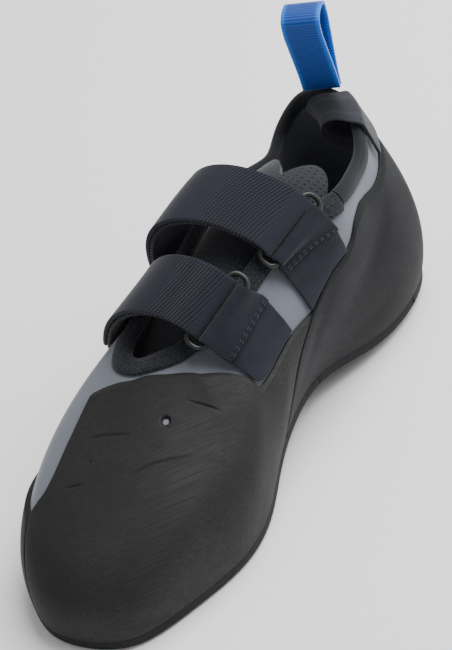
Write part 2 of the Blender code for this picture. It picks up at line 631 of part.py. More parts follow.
def build_strap(name, ring_along, inner_along, turned, sewn, leaves, lean, shoulder, collection):
    """Webbing sewn to the inner side, over the instep in a stiff arch, round the ring's
    inner bar and back over itself."""
    frame = ring_frame(ring_along, turned)
    middle, long_axis, inward, normal = frame
    stations = inner_along + WIDTHS * STRAP_WIDTH / LENGTH
    rises = np.linspace(sewn, leaves, 4)
    heights = np.full(len(rises), LAP_GAP + STRAP / 2.0)
    leg = side_strip(stations, rises, heights, False)
    bar = RING_SPAN / 2.0
    radius = RING_WIRE + LAP_GAP + STRAP / 2.0
    start = in_frame(frame, WIDTHS, [bar + 0.001], [-radius])[:, 0]
    top_of_leg = leg[:, -1]
    outward = plan_outward(turn_along(stations, leaves, False))
    rising = unit(outward * lean + np.array([0.0, 0.0, 1.0]))
    span = np.linalg.norm(start - top_of_leg, axis=1)[:, None]
    crown = bezier(top_of_leg, top_of_leg + rising * span * shoulder,
                   start + inward * span * STRAP_CREST, start, np.linspace(0.0, 1.0, 10)[1:])
    under = np.concatenate([leg, crown], 1)
    reach, height = turn_round(bar, radius, 255.0, 105.0, 6)
    fold = in_frame(frame, WIDTHS, reach, height)
    upward = unit(np.cross(np.gradient(under, axis=0), np.gradient(under, axis=1)))
    if upward[1, -1].dot(normal) < 0.0:
        upward = -upward
    path = np.linalg.norm(under - under[:, -1:], axis=2)
    extra = STRAP + LAP_GAP + (2.0 * radius - STRAP - LAP_GAP) * (
        1.0 - smoothstep(0.001, 0.012, path))
    over = (under + upward * extra[..., None])[:, ::-1]
    loose_end = int(round((len(rises) - 1) * (1.0 - STRAP_END)))
    over = over[:, :over.shape[1] - loose_end]
    grid = np.concatenate([under, fold, over], 1)
    sheet(name, grid, STRAP, 0.0, "webbing", collection)


def build_tongue(collection):
    """Padded sheet under the opening, tucked in front and on both sides, with two lobes."""
    below = -(WALL + LAP_GAP + BINDING + LAP_GAP + GAP + TONGUE / 2.0)
    across = np.linspace(0.0, 1.0, 9)
    off_middle = np.clip(2.0 * np.abs(across - 0.5), 0.0, 1.0)
    lobes = TONGUE_TO + TONGUE_LOBES * np.sin(np.pi * off_middle) ** 0.8
    share = np.linspace(0.0, 1.0, 10)
    along = TONGUE_FROM + (lobes[:, None] - TONGUE_FROM) * share[None, :]
    grid = np.empty((len(across), len(share), 3))
    for i, place in enumerate(across):
        stations = along[i]
        zeros = np.zeros(len(stations))
        left = edge_points(stations, zeros, zeros + below, True)
        left_out = edge_points(stations, zeros - 0.001, zeros + below, True)
        right = edge_points(stations, zeros, zeros + below, False)
        right_out = edge_points(stations, zeros - 0.001, zeros + below, False)
        span = np.linalg.norm(left - right, axis=1)[:, None] * TONGUE_BOW
        grid[i] = bezier(left, left + unit(left - left_out) * span,
                         right + unit(right - right_out) * span, right,
                         np.array([place]))[:, 0]
    tuck = np.full(len(share), -TONGUE_TUCK)
    deep = np.full(len(share), below)
    tucked_left = edge_points(along[0], tuck, deep, True)
    tucked_right = edge_points(along[-1], tuck, deep, False)
    grid = np.concatenate([tucked_left[None], grid, tucked_right[None]], 0)
    lead = [grid[:, :1] - np.array([0.0, forward, down]) for forward, down in TONGUE_LEAD]
    grid = np.concatenate(lead + [grid], 1)
    sheet("tongue", grid, TONGUE, 0.0, "mesh", collection)


def build_heel_loop(collection):
    """Tape doubled into a drop-shaped loop, standing on the back of the collar."""
    near = np.linspace(-0.7, 0.7, 11)[:, None] * HEEL_TAPE / GIRTH
    faces = np.array([BINDING_TOP, -WALL / 2.0, -WALL - BINDING_TOP])
    rim = by_edge(near, LAP_GAP + BINDING, faces)
    base = rim[len(near) // 2, 1].copy()
    base[2] = rim[..., 2].max() + LAP_GAP
    turned = math.radians(HEEL_LOOP_TURN)
    wide = np.array([math.cos(turned), math.sin(turned), 0.0])
    deep = np.array([-math.sin(turned), math.cos(turned), 0.0])
    leg = TAPE / 2.0 + GAP
    heights = np.array([0.0, 0.18, 0.40, 0.62, 0.82, 0.95])
    half_gaps = np.array([0.0, 0.12, 0.42, 0.76, 1.0, 0.86])
    half = leg + half_gaps * HEEL_LOOP_GAP / 2.0
    up = heights * HEEL_LOOP
    top_angles = np.radians([60.0, 90.0, 120.0])
    cap = HEEL_LOOP_GAP / 2.0
    top_depth = cap * np.cos(top_angles)
    top_up = 0.95 * HEEL_LOOP + 0.05 * HEEL_LOOP * np.sin(top_angles)
    depth = np.concatenate([half, top_depth, -half[::-1]])
    rise = np.concatenate([up, top_up, up[::-1]])
    widths = np.array([-0.5, 0.5]) * HEEL_TAPE
    grid = (base + wide * widths[:, None, None] + deep * depth[None, :, None]
            + np.array([0.0, 0.0, 1.0]) * rise[None, :, None])
    sheet("heel_pull_loop", grid, TAPE, 0.0, "blue_tape", collection)


def build_side_loop(collection):
    """Webbing sewn outside the collar, looped inwards over its edge."""
    middle = turn_at("heel_corner_l", SIDE_LOOP_AT)
    point = side_point(np.array([middle - 0.01, middle + 0.01]), 1.0)
    per_metre = 0.02 / np.linalg.norm(point[1] - point[0])
    turn = middle + np.linspace(-0.5, 0.5, 4) * SIDE_TAPE * per_metre
    outside = BINDING_TOP + TAPE / 2.0
    patch = by_edge(turn[:, None], np.array([-0.013, -0.008, -0.003])[None, :],
                    np.array([outside, outside, outside])[None, :])
    edge = by_edge(turn, 0.0, 0.0)
    outward = side_normal(turn, np.ones(len(turn)))
    across = unit(outward + np.array([SIDE_LOOP_PULL, 0.0, 0.0]))
    rising = unit(edge - by_edge(turn, -0.002, 0.0))
    inside = WALL + BINDING_TOP + TAPE / 2.0
    path = [(0.0025, outside * 0.9), (0.0062, -0.002), (0.0070, -0.45 * SIDE_LOOP),
            (0.0050, -0.85 * SIDE_LOOP), (0.0005, -SIDE_LOOP), (-0.0045, -0.90 * SIDE_LOOP),
            (-0.0080, -0.60 * SIDE_LOOP)]
    arch = np.stack([edge + rising * up + (across if out < -0.003 else outward) * out
                     for up, out in path], 1)
    foot = by_edge(turn[:, None], np.array([-0.0095, -0.0130])[None, :],
                   np.array([-inside, -inside])[None, :])
    grid = np.concatenate([patch, arch, foot], 1)
    sheet("side_pull_loop", grid, TAPE, 0.0, "webbing", collection)


def build():
    for old in list(bpy.data.objects):
        bpy.data.objects.remove(old, do_unlink=True)
    shoe = bpy.data.collections.new("climbing_shoe")
    bpy.context.scene.collection.children.link(shoe)
    build_upper(shoe)
    turn_seam = SEAM / GIRTH
    build_rubber("toe_rubber", TOE_RUBBER_TOP, OUTER_SEAM, TOE_PATCH_SIDE, turn_seam, 32, 11,
                 THROAT_BAND, shoe)
    build_rubber("heel_rubber", HEEL_RUBBER_TOP, INNER_SEAM, OUTER_SEAM, turn_seam, 54, 8,
                 COLLAR_BAND, shoe)
    build_soles(shoe)
    quarter = turn_at("waist_l", -0.12)
    inner_quarter = turn_at("waist_m", 0.20)
    build_binding("throat_binding", quarter + turn_seam, inner_quarter - turn_seam, 31,
                  THROAT_BAND, shoe)
    build_binding("collar_binding", inner_quarter + turn_seam, 1.0 + quarter - turn_seam, 24,
                  COLLAR_BAND, shoe)
    for name, ring, inner, turned, sewn, leaves, lean, shoulder in STRAPS:
        rubber_top = TOE_RUBBER_TOP if name == "front" else HEEL_RUBBER_TOP
        build_strap_base("strap_base_" + name, ring, turned, rubber_top, shoe)
        build_ring("ring_" + name, ring, turned, shoe)
        build_strap("strap_" + name, ring, inner, turned, sewn, leaves, lean, shoulder, shoe)
    build_tongue(shoe)
    build_heel_loop(shoe)
    build_side_loop(shoe)


build()
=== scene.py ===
"""Looks of a left climbing shoe with two ribbed straps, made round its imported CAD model.

Metres, toe towards -Y, heel towards +Y, outer side of the foot towards +X, and the sole
on the floor at z = 0. Each section makes one piece, in the order of a shoemaker's work.
"""
import math

import bmesh
import bpy
import numpy as np
from mathutils import Matrix


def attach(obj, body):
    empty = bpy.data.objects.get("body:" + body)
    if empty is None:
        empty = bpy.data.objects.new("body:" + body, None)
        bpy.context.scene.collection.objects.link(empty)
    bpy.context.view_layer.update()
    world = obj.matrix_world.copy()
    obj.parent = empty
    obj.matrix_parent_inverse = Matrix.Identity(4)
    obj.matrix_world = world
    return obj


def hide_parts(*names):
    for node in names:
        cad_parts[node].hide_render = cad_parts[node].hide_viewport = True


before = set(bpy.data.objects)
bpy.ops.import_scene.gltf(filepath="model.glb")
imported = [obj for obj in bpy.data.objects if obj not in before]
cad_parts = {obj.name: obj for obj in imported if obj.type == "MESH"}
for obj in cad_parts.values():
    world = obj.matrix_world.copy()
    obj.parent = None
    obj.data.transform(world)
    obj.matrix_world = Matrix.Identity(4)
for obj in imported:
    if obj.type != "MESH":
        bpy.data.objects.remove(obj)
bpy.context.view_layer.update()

# Camera
# A long lens 0.9 m from the shoe, in front of the toe and on the outer side, rolled so
# that the shoe climbs the picture from the lower left to the upper right.
PICTURE_TALL = 650
SENSOR = 36.0
FOCAL_PIXELS = 2304.0
VIEW_TARGET = np.array([0.0112, 0.0561, 0.0678])
VIEW_DISTANCE = 0.900
VIEW_AZIMUTH = math.radians(44.8)
VIEW_ELEVATION = math.radians(39.7)
VIEW_ROLL = math.radians(-18.1)

toward_eye = np.array([math.sin(VIEW_AZIMUTH) * math.cos(VIEW_ELEVATION),
                       -math.cos(VIEW_AZIMUTH) * math.cos(VIEW_ELEVATION),
                       math.sin(VIEW_ELEVATION)])
level_right = np.cross(-toward_eye, [0.0, 0.0, 1.0])
level_right /= np.linalg.norm(level_right)
level_up = np.cross(level_right, -toward_eye)
eye_right = math.cos(VIEW_ROLL) * level_right + math.sin(VIEW_ROLL) * level_up
eye_up = math.cos(VIEW_ROLL) * level_up - math.sin(VIEW_ROLL) * level_right
eye = VIEW_TARGET + toward_eye * VIEW_DISTANCE
camera = bpy.data.objects.new("camera", bpy.data.cameras.new("camera"))
camera.data.sensor_width = SENSOR
camera.data.lens = SENSOR * FOCAL_PIXELS / PICTURE_TALL
camera.matrix_world = Matrix((
    (eye_right[0], eye_up[0], toward_eye[0], eye[0]),
    (eye_right[1], eye_up[1], toward_eye[1], eye[1]),
    (eye_right[2], eye_up[2], toward_eye[2], eye[2]),
    (0.0, 0.0, 0.0, 1.0)))
bpy.context.scene.collection.objects.link(camera)
bpy.context.scene.camera = camera


# Studio
# A white floor under even white light, with a large soft box high behind the shoe and a
# smaller, lower one behind it on the outer side, as for a catalogue picture.
FLOOR_WHITE = "#fbfbfb"
FLOOR_HALF = 3.0
ONE_WAVE = 0.31416          # scale that gives a wave texture one rib in a metre
SKY_STRENGTH = 0.48
# name, place, what it faces, size, watts
SOFT_BOXES = [
    ("soft_box_over", (0.30, 0.60, 1.25), (0.0, 0.05, 0.05), 1.0, 30.0),
    ("soft_box_heel", (0.80, 0.90, 0.75), (0.0, 0.10, 0.05), 0.6, 5.0),
]


def linear(hex_colour):
    """An sRGB hex colour as a linear one with alpha 1."""
    parts = [int(hex_colour[i:i + 2], 16) / 255.0 for i in (1, 3, 5)]
    return tuple(p / 12.92 if p <= 0.04045 else ((p + 0.055) / 1.055) ** 2.4
                 for p in parts) + (1.0,)


def add(tree, kind, inputs, **settings):
    """Adds a node with its settings, sets or links its inputs, and returns its outputs."""
    made = tree.nodes.new(kind)
    for key, value in settings.items():
        setattr(made, key, value)
    for key, value in inputs.items():
        if isinstance(value, bpy.types.NodeSocket):
            tree.links.new(value, made.inputs[key])
        else:
            made.inputs[key].default_value = value
    return made.outputs


def new_finish(name, roughness, **sockets):
    """A material with its even values on the shader, and its tree and shader to build on."""
    made = bpy.data.materials.new(name)
    made.use_nodes = True
    shader = made.node_tree.nodes["Principled BSDF"]
    shader.inputs["Roughness"].default_value = roughness
    for key, value in sockets.items():
        shader.inputs[key.replace("_", " ")].default_value = value
    return made, made.node_tree, shader


def body_place(tree):
    """Places on a piece in metres, in its own axes."""
    return add(tree, "ShaderNodeTexCoord", {})["Object"]


def cloth_place(tree):
    """Places on a sheet in metres, along its columns and up its rows."""
    return add(tree, "ShaderNodeUVMap", {}, uv_map="surface")[0]


def marked(tree, name):
    """The value from 0 to 1 that a mesh keeps at each point under this name."""
    return add(tree, "ShaderNodeAttribute", {}, attribute_name=name)["Fac"]


def noise(tree, place, scale, detail, **sockets):
    """Soft noise with features about 1 / scale metres across."""
    return add(tree, "ShaderNodeTexNoise",
               {"Vector": place, "Scale": scale, "Detail": detail, **sockets})["Fac"]


def cells(tree, place, scale, uneven):
    """Distance from the middle of the nearest cell, on rows 1 / scale metres apart."""
    return add(tree, "ShaderNodeTexVoronoi",
               {"Vector": place, "Scale": scale, "Randomness": uneven})["Distance"]


def waves(tree, place, width, **settings):
    """Even ribs of this width in metres."""
    return add(tree, "ShaderNodeTexWave",
               {"Vector": place, "Scale": ONE_WAVE / width}, **settings)["Fac"]


def reckon(tree, operation, *terms, clamp=False):
    """A sum or product of sockets and numbers."""
    return add(tree, "ShaderNodeMath", dict(enumerate(terms)), operation=operation,
               use_clamp=clamp)[0]


def ramp(tree, value, low, high, first=0.0, last=1.0, soft=False):
    """A value from low to high carried over to first to last, evenly or in a soft S."""
    return add(tree, "ShaderNodeMapRange",
               {"Value": value, "From Min": low, "From Max": high, "To Min": first,
                "To Max": last}, interpolation_type="SMOOTHSTEP" if soft else "LINEAR")[0]


def blend(tree, share, first, last):
    """A colour between two others, each an sRGB hex colour or a socket."""
    ends = [linear(end) if isinstance(end, str) else end for end in (first, last)]
    return add(tree, "ShaderNodeMix", {0: share, 6: ends[0], 7: ends[1]}, data_type="RGBA")[2]


def cover(tree, shader, colour, height, strength, depth):
    """Gives the shader its colour and a relief of this depth in metres."""
    tree.links.new(colour, shader.inputs["Base Color"])
    bump = add(tree, "ShaderNodeBump",
               {"Height": height, "Strength": strength, "Distance": depth})[0]
    tree.links.new(bump, shader.inputs["Normal"])


painted_board, tree, shader = new_finish("painted_board", 0.9)
shader.inputs["Base Color"].default_value = linear(FLOOR_WHITE)
floor_mesh = bpy.data.meshes.new("floor")
floor_mesh.from_pydata([(-FLOOR_HALF, -FLOOR_HALF, 0.0), (FLOOR_HALF, -FLOOR_HALF, 0.0),
                        (FLOOR_HALF, FLOOR_HALF, 0.0), (-FLOOR_HALF, FLOOR_HALF, 0.0)],
                       [], [(0, 1, 2, 3)])
floor_mesh.materials.append(painted_board)
floor = bpy.data.objects.new("floor", floor_mesh)
bpy.context.scene.collection.objects.link(floor)

world = bpy.data.worlds.new("studio")
world.use_nodes = True
world.node_tree.nodes["Background"].inputs["Color"].default_value = (1.0, 1.0, 1.0, 1.0)
world.node_tree.nodes["Background"].inputs["Strength"].default_value = SKY_STRENGTH
bpy.context.scene.world = world
for name, place, faces, size, watts in SOFT_BOXES:
    lamp = bpy.data.lights.new(name, "AREA")
    lamp.size = size
    lamp.energy = watts
    box = bpy.data.objects.new(name, lamp)
    beam = np.array(place) - np.array(faces)
    beam /= np.linalg.norm(beam)
    sideways = np.cross([0.0, 0.0, 1.0], beam)
    sideways /= np.linalg.norm(sideways)
    upward = np.cross(beam, sideways)
    box.matrix_world = Matrix([list(row) for row in zip(
        (*sideways, 0.0), (*upward, 0.0), (*beam, 0.0), (*place, 1.0))])
    bpy.context.scene.collection.objects.link(box)


# Upper
# Synthetic microfibre of 2 mm with a knit lining, cut in panels, sewn and pulled over a
# curved last until its edge turns in under the foot. Everything else is fixed to it.
LENGTH = 0.237              # toe tip to heel along the line where upper and sole meet
BALL_WIDTH = 0.079
HEEL_WIDTH = 0.058
INSTEP_HEIGHT = 0.086
HEEL_HEIGHT = 0.098
ARCH = 0.015                # how far the inner waist lifts above the heel seat
GIRTH = 2.5 * LENGTH        # about once round the shoe
WALL = 0.002
LASTING_MARGIN = 0.008
SOLE = 0.0045
CLEAR = 0.0005              # between the layers, as in the CAD model
TOUCH = 0.00012             # between layers that look pressed together
ORIGIN_ALONG = 0.258        # share of LENGTH from the toe to the origin
UPPER_COLUMNS, UPPER_ROWS, MARGIN_ROWS = 300, 70, 6

# Sections of the last, from the back of the heel over the outer side to the toe and back.
# Feather line: along (of LENGTH), across (of the local width), lift (of ARCH). Edge of the
# opening: along, across, height (of the local height). Wall between: swell and rise of
# its lower half, reach (of LENGTH) and drop (of the local height) of its upper half.
SECTIONS = [
    # name            along   across  lift   along   across  height  swell  rise   reach  drop
    ("heel_back",     1.000,  0.02,  0.28,  0.962, -0.03,  1.00,   0.17,  0.29,  0.033, 0.34),
    ("heel_corner_l", 0.967,  0.37,  0.28,  0.946,  0.21,  0.97,   0.17,  0.28,  0.038, 0.31),
    ("heel_l",        0.871,  0.51,  0.22,  0.896,  0.38,  0.92,   0.17,  0.27,  0.030, 0.27),
    ("heel_front_l",  0.742,  0.46,  0.41,  0.838,  0.45,  0.96,   0.15,  0.25,  0.030, 0.28),
    ("waist_l",       0.613,  0.32,  0.75,  0.754,  0.46,  1.00,   0.15,  0.26,  0.050, 0.21),
    ("ball_rear_l",   0.454,  0.35,  0.41,  0.620,  0.22,  0.95,   0.11,  0.30,  0.075, 0.15),
    ("ball_l",        0.354,  0.44,  0.10,  0.480,  0.12,  0.82,   0.06,  0.32,  0.103, 0.13),
    ("little_toe",    0.254,  0.48,  0.03,  0.450,  0.01,  0.77,   0.05,  0.30,  0.177, 0.17),
    ("fourth_toe",    0.133,  0.39,  0.03,  0.430, -0.05,  0.75,   0.05,  0.33,  0.216, 0.20),
    ("third_toe",     0.038,  0.25,  0.03,  0.417, -0.11,  0.735,  0.05,  0.35,  0.246, 0.235),
    ("second_toe",    0.004,  0.04,  0.03,  0.404, -0.17,  0.72,   0.05,  0.39,  0.259, 0.26),
    ("toe_tip",       0.004, -0.17,  0.03,  0.396, -0.24,  0.70,   0.04,  0.40,  0.248, 0.27),
    ("big_toe",       0.038, -0.35,  0.03,  0.398, -0.31,  0.70,   0.01,  0.38,  0.202, 0.23),
    ("big_toe_side",  0.100, -0.50,  0.03,  0.424, -0.36,  0.72,   0.01,  0.37,  0.124, 0.16),
    ("ball_m",        0.246, -0.53,  0.10,  0.490, -0.35,  0.80,   0.03,  0.36,  0.081, 0.12),
    ("ball_rear_m",   0.412, -0.46,  0.50,  0.584, -0.32,  0.90,   0.07,  0.34,  0.066, 0.14),
    ("waist_m",       0.575, -0.40,  1.00,  0.712, -0.31,  1.02,   0.11,  0.30,  0.042, 0.19),
    ("heel_front_m",  0.742, -0.40,  0.62,  0.842, -0.33,  0.90,   0.13,  0.28,  0.026, 0.28),
    ("heel_m",        0.879, -0.46,  0.28,  0.908, -0.38,  0.86,   0.17,  0.28,  0.022, 0.28),
    ("heel_corner_m", 0.972, -0.35,  0.28,  0.952, -0.28,  0.94,   0.18,  0.29,  0.026, 0.33),
]
SECTION_NAMES = [row[0] for row in SECTIONS]
# Middle of the last's underside: along, lift (of ARCH)
SPINE = [(0.00, 0.03), (0.07, 0.0), (0.33, 0.0), (0.60, 0.66), (0.80, 0.0), (0.93, 0.0),
         (1.00, 0.28)]
FLAT_SHARE = 0.40           # flat middle of the underside, of its half width

# Creases and soft ridges that wear has left, from one spot to another: section, share of
# the way to the next one and height share on the side, then half width and depth in
# metres, a negative depth being a ridge
CREASES = [
    ("ball_l", 0.10, 0.80, "little_toe", 0.95, 0.93, 0.0050, 0.0006),
    ("little_toe", 0.20, 0.62, "fourth_toe", 0.70, 0.80, 0.0080, 0.0007),
    ("ball_rear_l", 0.55, 0.42, "ball_l", 0.60, 0.70, 0.0055, 0.0007),
    ("ball_rear_l", 0.20, 0.20, "ball_rear_l", 0.25, 0.50, 0.0060, -0.0005),
    ("waist_l", 0.55, 0.20, "waist_l", 0.30, 0.60, 0.0060, 0.0006),
    ("heel_front_l", 0.50, 0.45, "heel_l", 0.30, 0.70, 0.0070, 0.0007),
    ("heel_corner_l", 0.30, 0.30, "heel_corner_l", 0.10, 0.75, 0.0060, -0.0006),
    ("heel_l", 0.60, 0.25, "heel_front_l", 0.30, 0.20, 0.0065, 0.0005),
    ("heel_corner_m", 0.10, 0.70, "heel_m", 0.20, 0.62, 0.0060, 0.0006),
    ("waist_m", 0.10, 0.30, "ball_rear_m", 0.70, 0.62, 0.0060, 0.0007),
    ("ball_rear_m", 0.30, 0.30, "ball_rear_m", 0.10, 0.75, 0.0055, 0.0006),
    ("ball_m", 0.60, 0.55, "ball_m", 0.90, 0.80, 0.0050, 0.0006),
    ("big_toe_side", 0.30, 0.60, "ball_m", 0.10, 0.80, 0.0060, 0.0005),
]


def smoothstep(low, high, value):
    """0 below low, 1 above high, and an even S between them."""
    share = np.clip((np.asarray(value, float) - low) / (high - low), 0.0, 1.0)
    return share * share * (3.0 - 2.0 * share)


def unit(vectors):
    return vectors / np.linalg.norm(vectors, axis=-1)[..., None]


def local_width(along):
    return BALL_WIDTH + (HEEL_WIDTH - BALL_WIDTH) * smoothstep(0.30, 0.85, along)


def local_height(along):
    return INSTEP_HEIGHT + (HEEL_HEIGHT - INSTEP_HEIGHT) * smoothstep(0.80, 0.96, along)


def measured_sections():
    """The section table in metres: feather point, opening point and four handle lengths."""
    rows = []
    for _, along, across, lift, t_along, t_across, height, swell, rise, reach, drop in SECTIONS:
        width = local_width(along)
        tall = local_height(t_along)
        rows.append((
            across * width, (along - ORIGIN_ALONG) * LENGTH, SOLE + CLEAR + lift * ARCH,
            t_across * local_width(t_along), (t_along - ORIGIN_ALONG) * LENGTH, height * tall,
            swell * width, rise * tall, reach * LENGTH, drop * tall))
    return np.array(rows)


def closed_spline(values, at):
    """Smooth closed curve through one value at each section, one turn being 1."""
    count = len(KNOTS)
    steps = np.diff(np.append(KNOTS, KNOTS[0] + 1.0))
    slopes = (np.roll(values, -1, 0) - values) / steps[:, None]
    system = np.zeros((count, count))
    right_side = np.zeros_like(values)
    for i in range(count):
        system[i, i - 1] += steps[i - 1]
        system[i, i] += 2.0 * (steps[i - 1] + steps[i])
        system[i, (i + 1) % count] += steps[i]
        right_side[i] = 6.0 * (slopes[i] - slopes[i - 1])
    bends = np.linalg.solve(system, right_side)
    at = np.mod(at - KNOTS[0], 1.0) + KNOTS[0]
    i = np.clip(np.searchsorted(KNOTS, at, side="right") - 1, 0, count - 1)
    j = (i + 1) % count
    step = steps[i][:, None]
    after = (at - KNOTS[i])[:, None]
    before = step - after
    return ((bends[i] * before ** 3 + bends[j] * after ** 3) / (6.0 * step)
            + (values[i] / step - bends[i] * step / 6.0) * before
            + (values[j] / step - bends[j] * step / 6.0) * after)


ROWS = measured_sections()
chords = np.sqrt(np.linalg.norm(np.roll(ROWS[:, :2], -1, 0) - ROWS[:, :2], axis=1))
KNOTS = np.concatenate([[0.0], np.cumsum(chords)[:-1]]) / chords.sum()


def turn_at(section, onward=0.0):
    """Turn share of a spot between a section and the next one."""
    index = SECTION_NAMES.index(section)
    following = KNOTS[index + 1] if index + 1 < len(KNOTS) else 1.0
    return KNOTS[index] + onward * (following - KNOTS[index])


def plan_outward(turn):
    """Direction, seen from above, square to the feather line and away from the foot."""
    step = 0.002
    run = closed_spline(ROWS[:, :2], turn + step) - closed_spline(ROWS[:, :2], turn - step)
    return unit(np.stack([-run[:, 1], run[:, 0], np.zeros(len(run))], 1))


def side_point(turn, rise):
    """The upper's outer face: a cubic from the feather line (rise 0) to the opening (1)."""
    turn, rise = np.broadcast_arrays(np.asarray(turn, float), np.asarray(rise, float))
    flat = turn.ravel()
    row = closed_spline(ROWS, flat)
    outward = plan_outward(flat)
    up = np.array([0.0, 0.0, 1.0])
    low = row[:, 0:3]
    top = row[:, 3:6]
    low_handle = low + outward * row[:, 6:7] + up * row[:, 7:8]
    top_handle = top + outward * row[:, 8:9] - up * row[:, 9:10]
    v = rise.ravel()[:, None]
    w = 1.0 - v
    point = w ** 3 * low + 3 * w * w * v * low_handle + 3 * w * v * v * top_handle + v ** 3 * top
    return point.reshape(turn.shape + (3,))


def side_normal(turn, rise):
    """Outward unit normal of the upper's face, level with the floor at the feather line."""
    du, dv = 0.002, 0.01
    onward = side_point(np.asarray(turn) + du, rise) - side_point(np.asarray(turn) - du, rise)
    up = side_point(turn, np.asarray(rise) + dv) - side_point(turn, np.asarray(rise) - dv)
    normal = unit(np.cross(up, onward))
    level = 1.0 - smoothstep(0.0, 0.12, np.broadcast_to(rise, normal.shape[:-1]))
    normal[..., 2] *= 1.0 - level
    return unit(normal)


def crease_depth(turn, rise):
    """How far creases push the face in: a soft bell across each line of the table."""
    spot = np.stack(np.broadcast_arrays(np.mod(turn, 1.0) * GIRTH, rise * INSTEP_HEIGHT), -1)
    depth = np.zeros(spot.shape[:-1])
    for first, onward, high, last, further, higher, half_width, deep in CREASES:
        start = np.array([turn_at(first, onward) * GIRTH, high * INSTEP_HEIGHT])
        run = np.array([turn_at(last, further) * GIRTH, higher * INSTEP_HEIGHT]) - start
        share = np.clip(((spot - start) @ run) / (run @ run), 0.0, 1.0)
        away = np.linalg.norm(spot - start - share[..., None] * run, axis=-1)
        fade = 0.35 + 0.65 * np.sin(np.pi * share)
        depth += deep * fade * np.exp(-(away / half_width) ** 2)
    return depth


def on_upper(turn, rise, height):
    """A point at this height above the worn face of the upper."""
    turn, rise, height = np.broadcast_arrays(turn, rise, height)
    lift = height - crease_depth(turn, rise)
    return side_point(turn, rise) + side_normal(turn, rise) * lift[..., None]


def feather_line(offset, turn):
    """The line where upper and sole meet, moved out by offset."""
    return closed_spline(ROWS[:, :3], turn) + plan_outward(turn) * offset


def last_bottom(x, y):
    """Height of the last's underside: a shallow bowl with a flat middle."""
    turn = np.linspace(0.0, 1.0, 720, endpoint=False)
    line = closed_spline(ROWS[:, :3], turn)
    line = np.roll(line, -int(line[:, 1].argmax()), 0)
    toe = int(line[:, 1].argmin())
    outer = line[:toe + 1][::-1]
    inner = np.concatenate([line[toe:], line[:1]])
    x_outer, z_outer = (np.interp(y, outer[:, 1], outer[:, k]) for k in (0, 2))
    x_inner, z_inner = (np.interp(y, inner[:, 1], inner[:, k]) for k in (0, 2))
    middle = (x_outer + x_inner) / 2.0
    half = np.maximum((x_outer - x_inner) / 2.0, 0.002)
    share = np.clip(np.abs(x - middle) / half, 0.0, 1.0)
    bowl = np.clip((share - FLAT_SHARE) / (1.0 - FLAT_SHARE), 0.0, 1.0) ** 2
    stations = np.array(SPINE)
    along = np.clip(y / LENGTH + ORIGIN_ALONG, 0.0, 1.0)
    i = np.clip(np.searchsorted(stations[:, 0], along, side="right") - 1, 0, len(stations) - 2)
    onward = smoothstep(stations[i, 0], stations[i + 1, 0], along)
    lift = stations[i, 1] + (stations[i + 1, 1] - stations[i, 1]) * onward
    spine = SOLE + CLEAR + ARCH * lift
    edge = np.where(x > middle, z_outer, z_inner)
    return spine + (edge - spine) * bowl


def run_along(line):
    """Distance of each point from the first, along the line."""
    return np.concatenate([[0.0], np.cumsum(np.linalg.norm(np.diff(line, axis=0), axis=1))])


def run_up(points):
    """Distance of each grid point from the first row, up its column."""
    climb = np.linalg.norm(np.diff(points, axis=1), axis=2)
    return np.concatenate([np.zeros((len(points), 1)), np.cumsum(climb, axis=1)], 1)


def sheet_mesh(name, points, wrap=False):
    """A sheet through a grid of points, columns by rows, with a UV map that holds the
    distance in metres along its columns (U) and up its rows (V)."""
    columns, rows = points.shape[:2]
    column = np.arange(columns if wrap else columns - 1)[:, None]
    row = np.arange(rows - 1)[None, :]
    following = (column + 1) % columns
    corners = [(column, row), (column, row + 1), (following, row + 1), (following, row)]
    faces = np.stack([c * rows + r + np.zeros_like(column) for c, r in corners], -1)
    mesh = bpy.data.meshes.new(name)
    mesh.from_pydata(points.reshape(-1, 3).tolist(), [], faces.reshape(-1, 4).tolist())
    closed = np.concatenate([points, points[:1]])
    u = run_along(closed[:, rows // 2])
    v = run_up(closed)
    places = [(column, row), (column, row + 1), (column + 1, row + 1), (column + 1, row)]
    uv = np.stack([np.stack([u[c] + 0.0 * r, v[c, r]], -1) for c, r in places], 2)
    mesh.uv_layers.new(name="surface").data.foreach_set("uv", uv.ravel())
    return mesh


def weld(mesh, reach, close=False):
    """Joins points within reach, closes holes if asked and turns all faces outwards."""
    loose = bmesh.new()
    loose.from_mesh(mesh)
    bmesh.ops.remove_doubles(loose, verts=loose.verts, dist=reach)
    if close:
        bmesh.ops.holes_fill(loose, edges=[e for e in loose.edges if e.is_boundary], sides=0)
    bmesh.ops.recalc_face_normals(loose, faces=loose.faces)
    loose.to_mesh(mesh)
    loose.free()


def mark(mesh, name, values):
    """Keeps a value from 0 to 1 at each point, for a material to read."""
    mesh.attributes.new(name, "FLOAT", "POINT").data.foreach_set(
        "value", np.clip(values, 0.0, 1.0).ravel().astype(np.float32))


def add_piece(mesh, finishes, slot, *nodes):
    """Shows a mesh as a piece of the shoe that stands for these CAD nodes."""
    made = bpy.data.objects.new(mesh.name, mesh)
    bpy.context.scene.collection.objects.link(made)
    for finish in finishes:
        mesh.materials.append(finish)
    mesh.shade_smooth()
    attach(made, "root")
    if nodes:
        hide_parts(*nodes)
    return made


def thicken(made, thickness, side, rim, inner_finish=0):
    """Turns a sheet into a body: side 1 grows outwards, -1 inwards, with a round rim."""
    body = made.modifiers.new("thickness", "SOLIDIFY")
    body.thickness = thickness
    body.offset = side
    body.use_quality_normals = True
    body.material_offset = inner_finish
    body.material_offset_rim = inner_finish
    if rim > 0.0:
        rounding = made.modifiers.new("rim", "BEVEL")
        rounding.width = rim
        rounding.segments = 2
        rounding.limit_method = "ANGLE"
        rounding.angle_limit = math.radians(50.0)


